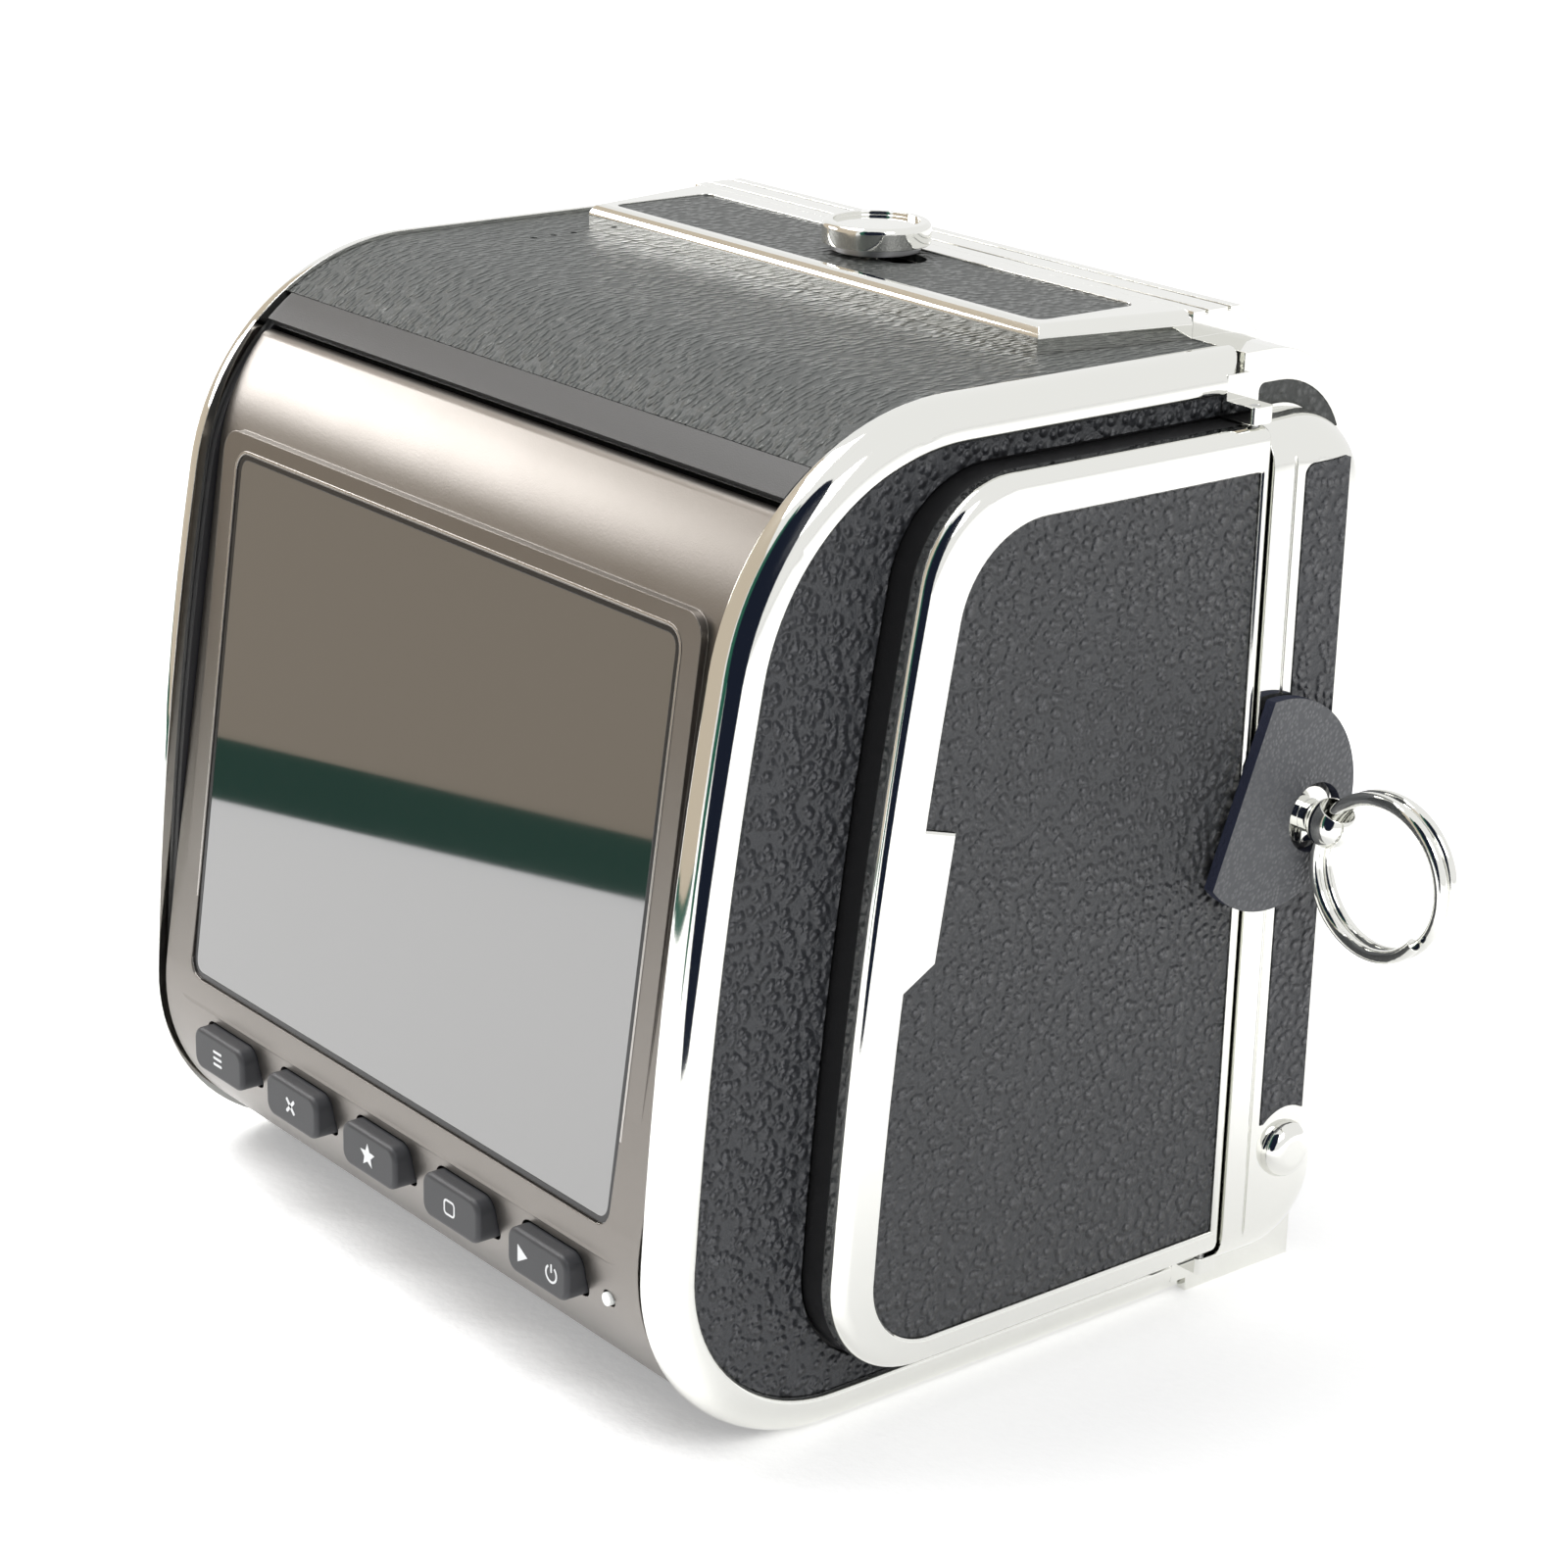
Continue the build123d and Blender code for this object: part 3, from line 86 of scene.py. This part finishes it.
def add_node(owner, kind, **settings):
    """A new node in a material's or world's tree, with its sockets and options set."""
    made = owner.node_tree.nodes.new(kind)
    for key, value in settings.items():
        if key in made.inputs:
            made.inputs[key].default_value = value
        else:
            setattr(made, key, value)
    return made


def join(owner, source, output, target, socket):
    owner.node_tree.links.new(source.outputs[output], target.inputs[socket])


def place_pattern(finish, stretch=(1, 1, 1), turn=(0, 0, 0)):
    """Object coordinates, stretched and turned for a pattern that lies one way."""
    where = add_node(finish, "ShaderNodeTexCoord")
    spread = add_node(finish, "ShaderNodeMapping")
    spread.inputs["Scale"].default_value = stretch
    spread.inputs["Rotation"].default_value = turn
    join(finish, where, "Object", spread, "Vector")
    return spread


def speckle(finish, pattern, scale, detail):
    """Noise that lies on a placed pattern."""
    noise = add_node(finish, "ShaderNodeTexNoise", Scale=scale, Detail=detail)
    join(finish, pattern, "Vector", noise, "Vector")
    return noise


def relief(finish, source, output, depth, edge=0.0):
    """Bump from a pattern, over edges that are rounded by a small radius."""
    bump = add_node(finish, "ShaderNodeBump", Strength=1.0, Distance=depth)
    join(finish, source, output, bump, "Height")
    if edge:
        eased = add_node(finish, "ShaderNodeBevel", samples=6, Radius=edge)
        join(finish, eased, "Normal", bump, "Normal")
    join(finish, bump, "Normal", main_shader(finish), "Normal")


def tinted(finish, source, output, dark, light):
    """Base colour that runs from dark to light with a pattern."""
    ramp = add_node(finish, "ShaderNodeValToRGB")
    ramp.color_ramp.elements[0].color = (*dark, 1)
    ramp.color_ramp.elements[1].color = (*light, 1)
    join(finish, source, output, ramp, "Fac")
    join(finish, ramp, "Color", main_shader(finish), "Base Color")


def uneven_polish(finish, source, output, low, high):
    """Roughness that runs between two numbers with a pattern."""
    spread = add_node(finish, "ShaderNodeMapRange")
    spread.inputs["To Min"].default_value = low
    spread.inputs["To Max"].default_value = high
    join(finish, source, output, spread, "Value")
    join(finish, spread, "Result", main_shader(finish), "Roughness")


pebble_wander = 0.55            # how far a pebble strays from its cell, in cells
pebble_crease = 0.72            # distance from a pebble's middle to its crease, in cells
pebble_crown = 0.12
pore_height = 0.22
tanned_gloss, crease_gloss = 0.30, 0.52


def leather(name, dark, light, cell, depth, stretch=(1, 1, 1), turn=(0, 0, 0)):
    """Pebbled leather: rounded islands between creases, with fine pores over them, and painted
    shade that darkens its colour in the creases.
    """
    finish = blank(name, light, tanned_gloss)
    main_shader(finish).inputs["Specular IOR Level"].default_value = 0.6
    pattern = place_pattern(finish, stretch, turn)
    wander = speckle(finish, pattern, 0.45 / cell, 3.0)
    shift = add_node(finish, "ShaderNodeVectorMath", operation="MULTIPLY_ADD")
    shift.inputs[1].default_value = (pebble_wander * cell,) * 3
    join(finish, wander, "Color", shift, 0)
    join(finish, pattern, "Vector", shift, 2)
    islands = add_node(finish, "ShaderNodeTexVoronoi", feature="SMOOTH_F1",
                       Scale=1 / cell, Smoothness=0.45)
    join(finish, shift, "Vector", islands, "Vector")
    dome = add_node(finish, "ShaderNodeMapRange", interpolation_type="SMOOTHSTEP")
    dome.inputs["From Min"].default_value = pebble_crease
    dome.inputs["From Max"].default_value = pebble_crown
    join(finish, islands, "Distance", dome, "Value")
    height = add_node(finish, "ShaderNodeMath", operation="MULTIPLY_ADD")
    height.inputs[1].default_value = pore_height
    join(finish, speckle(finish, pattern, 3.2 / cell, 2.0), "Fac", height, 0)
    join(finish, dome, "Result", height, 2)
    relief(finish, height, "Value", depth, 0.12 * mm)
    # Base colour dark in the creases and light on the pebble crowns: painted shade in the creases.
    tinted(finish, dome, "Result", dark, light)
    uneven_polish(finish, dome, "Result", crease_gloss, tanned_gloss)
    return finish


def metal(name, colour, roughness, grain=0.0005, cell=0.2, haze=0.02, edge=0.12):
    """Metal with a faint uneven polish and a fine bumped grain. Lengths in mm."""
    finish = blank(name, colour, roughness, 1.0)
    pattern = place_pattern(finish)
    clouds = speckle(finish, pattern, 1 / (60 * cell * mm), 4.0)
    uneven_polish(finish, clouds, "Fac", roughness - haze, roughness + haze)
    specks = speckle(finish, pattern, 1 / (cell * mm), 3.0)
    relief(finish, specks, "Fac", grain * mm, edge * mm)
    return finish


def moulded(name, colour, roughness, grain=0.02, cell=0.12):
    """Moulded plastic or rubber with a fine matt grain. Lengths in mm."""
    finish = blank(name, colour, roughness)
    specks = speckle(finish, place_pattern(finish), 1 / (cell * mm), 2.0)
    relief(finish, specks, "Fac", grain * mm, 0.1 * mm)
    uneven_polish(finish, specks, "Fac", roughness - 0.06, roughness + 0.06)
    return finish


def glassy(name, colour, roughness, bend, alpha=1.0):
    """Glass with a trace of smear in its polish."""
    finish = blank(name, colour, roughness)
    main_shader(finish).inputs["IOR"].default_value = bend
    main_shader(finish).inputs["Alpha"].default_value = alpha
    smear = speckle(finish, place_pattern(finish), 60.0, 5.0)
    uneven_polish(finish, smear, "Fac", roughness, roughness + 0.03)
    return finish


# Materials
side_hide = leather("side_hide", (0.022, 0.024, 0.028), (0.044, 0.046, 0.052),
                    0.85 * mm, 0.55 * mm)
door_hide = leather("door_hide", (0.024, 0.026, 0.029), (0.050, 0.052, 0.057),
                    0.9 * mm, 0.6 * mm)
top_hide = leather("top_hide", (0.026, 0.030, 0.028), (0.050, 0.056, 0.052),
                   0.55 * mm, 0.4 * mm, stretch=(1.0, 0.42, 0.42), turn=(0, 0, radians(18)))
inset_hide = leather("inset_hide", (0.022, 0.025, 0.023), (0.040, 0.044, 0.042),
                     0.75 * mm, 0.2 * mm)
guard_hide = leather("guard_hide", (0.060, 0.063, 0.070), (0.078, 0.081, 0.088),
                     0.4 * mm, 0.05 * mm)
suede_edge = moulded("suede_edge", (0.014, 0.018, 0.042), 0.9, grain=0.12, cell=0.3)

bright_chrome = metal("bright_chrome", (0.80, 0.80, 0.765), 0.06)
satin_chrome = metal("satin_chrome", (0.74, 0.74, 0.72), 0.16)
steel = metal("steel", (0.52, 0.52, 0.53), 0.3)
gunmetal = metal("gunmetal", (0.215, 0.20, 0.185), 0.34, grain=0.009, cell=0.16, haze=0.03,
                 edge=0.15)
# A lighter copy of the gunmetal for the rim round the glass: painted highlight of its polished
# edge.
rim_highlight_metal = metal("rim_highlight_metal", (0.42, 0.40, 0.38), 0.25)

black_metal = moulded("black_metal", (0.012, 0.012, 0.013), 0.4)
black_plastic = moulded("black_plastic", (0.016, 0.016, 0.018), 0.5)
strip_plastic = moulded("strip_plastic", (0.035, 0.035, 0.036), 0.4)
border_black = moulded("border_black", (0.006, 0.006, 0.007), 0.25, grain=0.002)
key_rubber = moulded("key_rubber", (0.030, 0.031, 0.035), 0.5, grain=0.01)
board_green = moulded("board_green", (0.012, 0.075, 0.035), 0.45)
battery_shell = moulded("battery_shell", (0.04, 0.04, 0.042), 0.5)
icon_white = moulded("icon_white", (0.75, 0.76, 0.77), 0.45, grain=0.0)
light_white = moulded("light_white", (0.9, 0.92, 0.9), 0.3, grain=0.0)

cover_glass = glassy("cover_glass", (0.012, 0.011, 0.010), 0.02, 3.0)
filter_glass = glassy("filter_glass", (0.55, 0.75, 0.75), 0.02, 1.5, 0.35)
sensor_face = glassy("sensor_face", (0.05, 0.07, 0.06), 0.1, 2.4)
display_face = glassy("display_face", (0.01, 0.01, 0.01), 0.15, 1.5)

node_finishes = {
    side_hide: ("side_leather_right", "side_leather_left", "cheek_leathers", "front_leather"),
    door_hide: ("card_door_leather", "battery_door_leather"),
    top_hide: ("top_leather",),
    inset_hide: ("top_inset", "shoulder_leathers"),
    guard_hide: ("ring_guard_right", "ring_guard_left"),
    bright_chrome: ("side_trim_right", "side_trim_left", "card_door_frame", "battery_door_frame",
                    "top_plate", "release_knob", "front_frame", "dome_studs", "strap_lug_right",
                    "strap_lug_left", "split_ring_right", "split_ring_left", "shutter_button",
                    "lens_release"),
    satin_chrome: ("lens_mount", "scroll_wheel"),
    steel: ("door_pins", "hinge_pins", "data_port", "knob_collar", "release_hook",
            "mount_screws", "tripod_bush"),
    gunmetal: ("screen_shell",),
    black_metal: ("card_door_shell", "battery_door_shell", "sensor_frame", "contact_block"),
    black_plastic: ("back_housing", "side_plate_right", "side_plate_left", "screen_cover",
                    "battery_bay", "card_cage"),
    strip_plastic: ("hinge_strip",),
    key_rubber: ("menu_key", "cross_key", "star_key", "square_key", "play_key"),
    board_green: ("key_board", "main_board"),
    battery_shell: ("battery", "memory_cards"),
    light_white: ("status_light",),
    cover_glass: ("screen_glass",),
    filter_glass: ("sensor_glass",),
    sensor_face: ("image_sensor",),
    display_face: ("display_panel",),
}
for finish, nodes in node_finishes.items():
    for node in nodes:
        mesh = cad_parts[node].data
        mesh.materials.clear()
        mesh.materials.append(finish)


# Makers of new pieces
def settle(name, shape, *finishes):
    """Turns a bmesh into an object of the scene."""
    mesh = bpy.data.meshes.new(name)
    shape.to_mesh(mesh)
    shape.free()
    for finish in finishes:
        mesh.materials.append(finish)
    piece = bpy.data.objects.new(name, mesh)
    bpy.context.scene.collection.objects.link(piece)
    return piece


def make_piece(name, shape, finish, body):
    """A piece that rides on a body."""
    bmesh.ops.recalc_face_normals(shape, faces=shape.faces)
    piece = settle(name, shape, finish)
    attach(piece, body)


def thicken(shape, depth):
    """Extrudes a flat shape in X and Z along Y, into a closed slab."""
    grown = bmesh.ops.extrude_face_region(shape, geom=shape.faces[:])
    moved = [item for item in grown["geom"] if isinstance(item, bmesh.types.BMVert)]
    bmesh.ops.translate(shape, verts=moved, vec=(0, depth, 0))


def square(shape, width, height):
    """A flat face in the plane of X and Y, round the origin."""
    made = bmesh.ops.create_grid(shape, x_segments=1, y_segments=1, size=0.5)["verts"]
    bmesh.ops.scale(shape, verts=made, vec=(width, height, 1))
    return made


def stand_up(shape, points, centre, turn=0.0):
    """Turns a flat drawing in its plane, and stands it in the plane of X and Z."""
    for angle, axis in ((turn, "Z"), (radians(90), "X")):
        bmesh.ops.rotate(shape, verts=points, cent=(0, 0, 0),
                         matrix=Matrix.Rotation(angle, 3, axis))
    bmesh.ops.translate(shape, verts=points, vec=(centre[0], 0, centre[1]))


def bar(shape, centre, length, width, turn=0.0):
    """A flat bar with rounded ends."""
    corners = bmesh.ops.bevel(shape, geom=square(shape, length, width), offset=width * 0.45,
                              segments=4, profile=0.5, affect="VERTICES", material=-1)["verts"]
    stand_up(shape, list({point for point in corners if point.is_valid}), centre, turn)


def disc(shape, centre, radius, sides, turn=0.0, squeeze=1.0):
    """A flat many-sided face; squeeze draws every second corner in, as on a star."""
    made = bmesh.ops.create_circle(shape, cap_ends=True, segments=sides, radius=radius)["verts"]
    bmesh.ops.scale(shape, verts=made[1::2], vec=(squeeze, squeeze, 1))
    stand_up(shape, made, centre, turn)


def outline(shape, centre, width, height, corner, line):
    """A rounded rectangle drawn as a line of some width."""
    bmesh.ops.bevel(shape, geom=square(shape, width, height), offset=corner, segments=5,
                    profile=0.5, affect="VERTICES", material=-1)
    middle = shape.faces[:]
    bmesh.ops.inset_region(shape, faces=middle, thickness=line, use_boundary=True,
                           use_even_offset=True)
    bmesh.ops.delete(shape, geom=middle, context="FACES")
    stand_up(shape, shape.verts[:], centre)


def arc_band(shape, centre, radius, line, start, sweep):
    """A flat arc of a ring in the plane of X and Z."""
    ends = [shape.verts.new((radius + side * line / 2, 0, 0)) for side in (-1, 1)]
    edge = shape.edges.new(ends)
    bmesh.ops.rotate(shape, verts=ends, cent=(0, 0, 0), matrix=Matrix.Rotation(-start, 3, "Y"))
    bmesh.ops.spin(shape, geom=[edge, *ends], cent=(0, 0, 0), axis=(0, -1, 0), dvec=(0, 0, 0),
                   angle=sweep, steps=20, use_merge=False)
    bmesh.ops.translate(shape, verts=shape.verts, vec=(centre[0], 0, centre[1]))


# Ring guards
guard_swell = 0.45 * mm         # how much thicker the leather is than its solid
guard_cuts = range(55, 68)      # lines, in mm forward of the rear line, that it is cut along


def soft_guard(name, node, hand):
    """A thick leather guard by the lug, cut across at set lines, its outer side swollen and its
    edge faces in suede.
    """
    shape = bmesh.new()
    shape.from_mesh(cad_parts[node].data)
    bmesh.ops.remove_doubles(shape, verts=shape.verts, dist=0.01 * mm)
    bmesh.ops.dissolve_limit(shape, angle_limit=radians(1), verts=shape.verts, edges=shape.edges)
    for back in guard_cuts:
        bmesh.ops.bisect_plane(shape, geom=[*shape.verts, *shape.edges, *shape.faces],
                               dist=0.0001 * mm, plane_co=(0, rear_line + back * mm, 0),
                               plane_no=(0, 1, 0))
    low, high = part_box(node)
    inner = low.x if hand > 0 else high.x
    outer_points = [point for point in shape.verts if abs(point.co.x - inner) > 0.3 * mm]
    bmesh.ops.translate(shape, verts=outer_points, vec=(hand * guard_swell, 0, 0))
    for face in shape.faces:
        if abs(face.normal.x) < 0.5:
            face.material_index = 1
    piece = settle(name, shape, guard_hide, suede_edge)
    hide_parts(node)
    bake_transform(piece)


soft_guard("ring_leather_right", "ring_guard_right", 1)
soft_guard("ring_leather_left", "ring_guard_left", -1)

# Icons on the keys
key_level = 15.0 * mm
key_pitch = 13.0 * mm
icon_front = rear_line - 1.23 * mm
icon_thick = 0.06 * mm
line = 0.26 * mm
menu_pitch, menu_length = 0.62 * mm, 1.5 * mm
cross_length = 1.9 * mm
star_reach = 1.2 * mm
square_width, square_height, square_corner = 1.7 * mm, 1.5 * mm, 0.42 * mm
play_reach = 0.95 * mm
power_radius = 0.75 * mm
power_bar_length, power_bar_rise = 0.8 * mm, 0.5 * mm
twin_offset = 2.2 * mm          # play and power stand this far to each side of their key's middle


def seat_icon(name, shape, key, place):
    """Gives an icon its thickness and puts it on its key's face. The middle key is place 0."""
    thicken(shape, icon_thick)
    bmesh.ops.translate(shape, verts=shape.verts, vec=(place * key_pitch, icon_front, key_level))
    make_piece(name, shape, icon_white, key)


menu_lines = bmesh.new()
for row in (-1, 0, 1):
    bar(menu_lines, (0, row * menu_pitch), menu_length, line)
seat_icon("menu_icon", menu_lines, "menu_key", -2)

for lie, slope in (("rising", 45), ("falling", -45)):
    cross_line = bmesh.new()
    bar(cross_line, (0, 0), cross_length, 1.3 * line, radians(slope))
    seat_icon(f"cross_icon_{lie}", cross_line, "cross_key", -1)

star_shape = bmesh.new()
disc(star_shape, (0, 0), star_reach, sides=10, squeeze=0.45)
seat_icon("star_icon", star_shape, "star_key", 0)

square_line = bmesh.new()
outline(square_line, (0, 0), square_width, square_height, square_corner, 0.75 * line)
seat_icon("square_icon", square_line, "square_key", 1)

play_shape = bmesh.new()
disc(play_shape, (-twin_offset, 0), play_reach, sides=3, turn=radians(-90))
seat_icon("play_icon", play_shape, "play_key", 2)

power_ring = bmesh.new()
arc_band(power_ring, (twin_offset, 0), power_radius, 0.8 * line,
         start=radians(125), sweep=radians(290))
seat_icon("power_icon_ring", power_ring, "play_key", 2)

power_bar = bmesh.new()
bar(power_bar, (twin_offset, power_bar_rise), power_bar_length, 0.8 * line, radians(90))
seat_icon("power_icon_bar", power_bar, "play_key", 2)

# Lines round the cover glass
screen_lean = radians(7.6)
glass_low, glass_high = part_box("screen_glass")
glass_thick = 1.1 * mm
glass_tall = 50.6 * mm
glass_wide = glass_high.x - glass_low.x
glass_corner = 1.7 * mm


def glass_ring(name, grow, width, front, depth, finish):
    """A rounded frame round the cover glass, set off its face by front."""
    shape = bmesh.new()
    outline(shape, (0, glass_tall / 2), glass_wide + 2 * grow, glass_tall + 2 * grow,
            glass_corner + grow, width)
    bmesh.ops.translate(shape, verts=shape.verts, vec=(0, -front, 0))
    thicken(shape, depth)
    bmesh.ops.rotate(shape, verts=shape.verts, cent=(0, 0, 0),
                     matrix=Matrix.Rotation(-screen_lean, 3, "X"))
    foot = (0, glass_low.y, glass_low.z + glass_thick * sin(screen_lean))
    bmesh.ops.translate(shape, verts=shape.verts, vec=foot)
    make_piece(name, shape, finish, "screen")


glass_ring("glass_black_border", grow=-0.02 * mm, width=0.55 * mm, front=0.02 * mm,
           depth=0.05 * mm, finish=border_black)
# The rim is a real polished edge; its colour, lighter than the shell, is painted highlight.
glass_ring("glass_highlight_rim", grow=0.32 * mm, width=0.26 * mm, front=0.16 * mm,
           depth=0.3 * mm, finish=rim_highlight_metal)


# Floor and world
def shown_backdrop(owner):
    """A node that is 1 for rays that show the backdrop: seen, mirrored or through glass."""
    path = add_node(owner, "ShaderNodeLightPath")
    seen_or_mirrored = add_node(owner, "ShaderNodeMath", operation="ADD")
    join(owner, path, "Is Camera Ray", seen_or_mirrored, 0)
    join(owner, path, "Is Glossy Ray", seen_or_mirrored, 1)
    shown = add_node(owner, "ShaderNodeMath", operation="ADD", use_clamp=True)
    join(owner, seen_or_mirrored, "Value", shown, 0)
    join(owner, path, "Is Transmission Ray", shown, 1)
    return shown


floor_shape = bmesh.new()
bmesh.ops.create_grid(floor_shape, x_segments=1, y_segments=1, size=3.0)
floor_white = blank("floor_white", (0.93, 0.93, 0.93), 0.7)
relief(floor_white, speckle(floor_white, place_pattern(floor_white), 900.0, 2.0), "Fac", 0.05 * mm)
floor_lift = add_node(floor_white, "ShaderNodeMath", operation="MULTIPLY")
floor_lift.inputs[1].default_value = 0.3
join(floor_white, shown_backdrop(floor_white), "Value", floor_lift, 0)
main_shader(floor_white).inputs["Emission Color"].default_value = (1, 1, 1, 1)
join(floor_white, floor_lift, "Value", main_shader(floor_white), "Emission Strength")
floor = settle("floor", floor_shape, floor_white)
floor.location = (0, 0, cad_low.z)

world_light, world_seen = 0.6, 1.0
world = bpy.data.worlds.new("studio")
bpy.context.scene.world = world
world.use_nodes = True
backdrop = world.node_tree.nodes["Background"]
backdrop.inputs["Color"].default_value = (1, 1, 1, 1)
level = add_node(world, "ShaderNodeMapRange")
level.inputs["To Min"].default_value = world_light
level.inputs["To Max"].default_value = world_seen
join(world, shown_backdrop(world), "Value", level, "Value")
join(world, level, "Result", backdrop, "Strength")


# Lamps and reflected cards
def face_towards(thing, place, towards):
    """Puts a lamp or card at a place, with its local -Z along a direction."""
    thing.location = place
    thing.rotation_euler = Vector(towards).to_track_quat("-Z", "Y").to_euler()


def softbox(name, place, aim, size, power):
    lamp = bpy.data.lights.new(name, "AREA")
    lamp.shape = "SQUARE"
    lamp.size = size
    lamp.energy = power
    holder = bpy.data.objects.new(name, lamp)
    bpy.context.scene.collection.objects.link(holder)
    face_towards(holder, place, Vector(aim) - Vector(place))


def reflected_card(name, place, aim, width, height, colour, oval=False):
    """A studio card that only mirrors in metal and glass, and casts no shade."""
    shape = bmesh.new()
    if oval:
        made = bmesh.ops.create_circle(shape, cap_ends=True, segments=48, radius=0.5)["verts"]
        bmesh.ops.scale(shape, verts=made, vec=(width, height, 1))
    else:
        square(shape, width, height)
    glow = blank(name, (0, 0, 0), 1.0)
    shader = main_shader(glow)
    shader.inputs["Emission Color"].default_value = (*colour, 1)
    shader.inputs["Emission Strength"].default_value = 1.0
    shader.inputs["Specular IOR Level"].default_value = 0.0
    card = settle(name, shape, glow)
    face_towards(card, place, Vector(place) - Vector(aim))
    for ray in ("camera", "diffuse", "transmission", "shadow", "volume_scatter"):
        setattr(card, f"visible_{ray}", False)


softbox("top_softbox", place=(-0.35, -0.25, 0.75), aim=(0, -0.03, 0.05), size=0.5, power=7)
softbox("side_softbox", place=(0.7, -0.15, 0.6), aim=(0.03, 0, 0.05), size=0.4, power=2.5)

reflected_card("room_card", place=(-0.153, -0.2065, 0.207), aim=(0, -0.065, 0.207),
               width=0.6, height=0.4, colour=(0.66, 0.57, 0.46))
reflected_card("room_floor_card", place=(-0.150, -0.2035, 0.0045), aim=(0, -0.065, 0.0045),
               width=0.6, height=0.009, colour=(0.03, 0.12, 0.09))
reflected_card("dark_card", place=(0.135, -0.145, 0.195), aim=(0.04, -0.06, 0.195),
               width=0.18, height=0.4, colour=(0.012, 0.016, 0.030), oval=True)
reflected_card("green_card", place=(0.075, -0.205, 0.20), aim=(0.04, -0.06, 0.20),
               width=0.05, height=0.38, colour=(0.03, 0.13, 0.09), oval=True)
reflected_card("glow_card", place=(-0.188, -0.138, 0.150), aim=(-0.036, -0.06, 0.075),
               width=0.12, height=0.085, colour=(8.0, 8.0, 8.0), oval=True)

# Camera
camera_data = bpy.data.cameras.new("photo_camera")
camera_data.lens = 85.1
camera_data.sensor_width = 36.0
camera_data.clip_start = 0.01
camera = bpy.data.objects.new("photo_camera", camera_data)
camera_place = (0.25467, -0.22864, 0.15726)
right = Vector((0.62418, 0.78097, 0.02218))
upward = Vector((-0.27498, 0.19302, 0.94187))
backward = Vector((0.73129, -0.59400, 0.33523))
turned = Matrix((right, upward, backward)).transposed().to_4x4()
camera.matrix_world = Matrix.Translation(camera_place) @ turned
bpy.context.scene.collection.objects.link(camera)
bpy.context.scene.camera = camera
bpy.context.scene.view_settings.view_transform = "Standard"
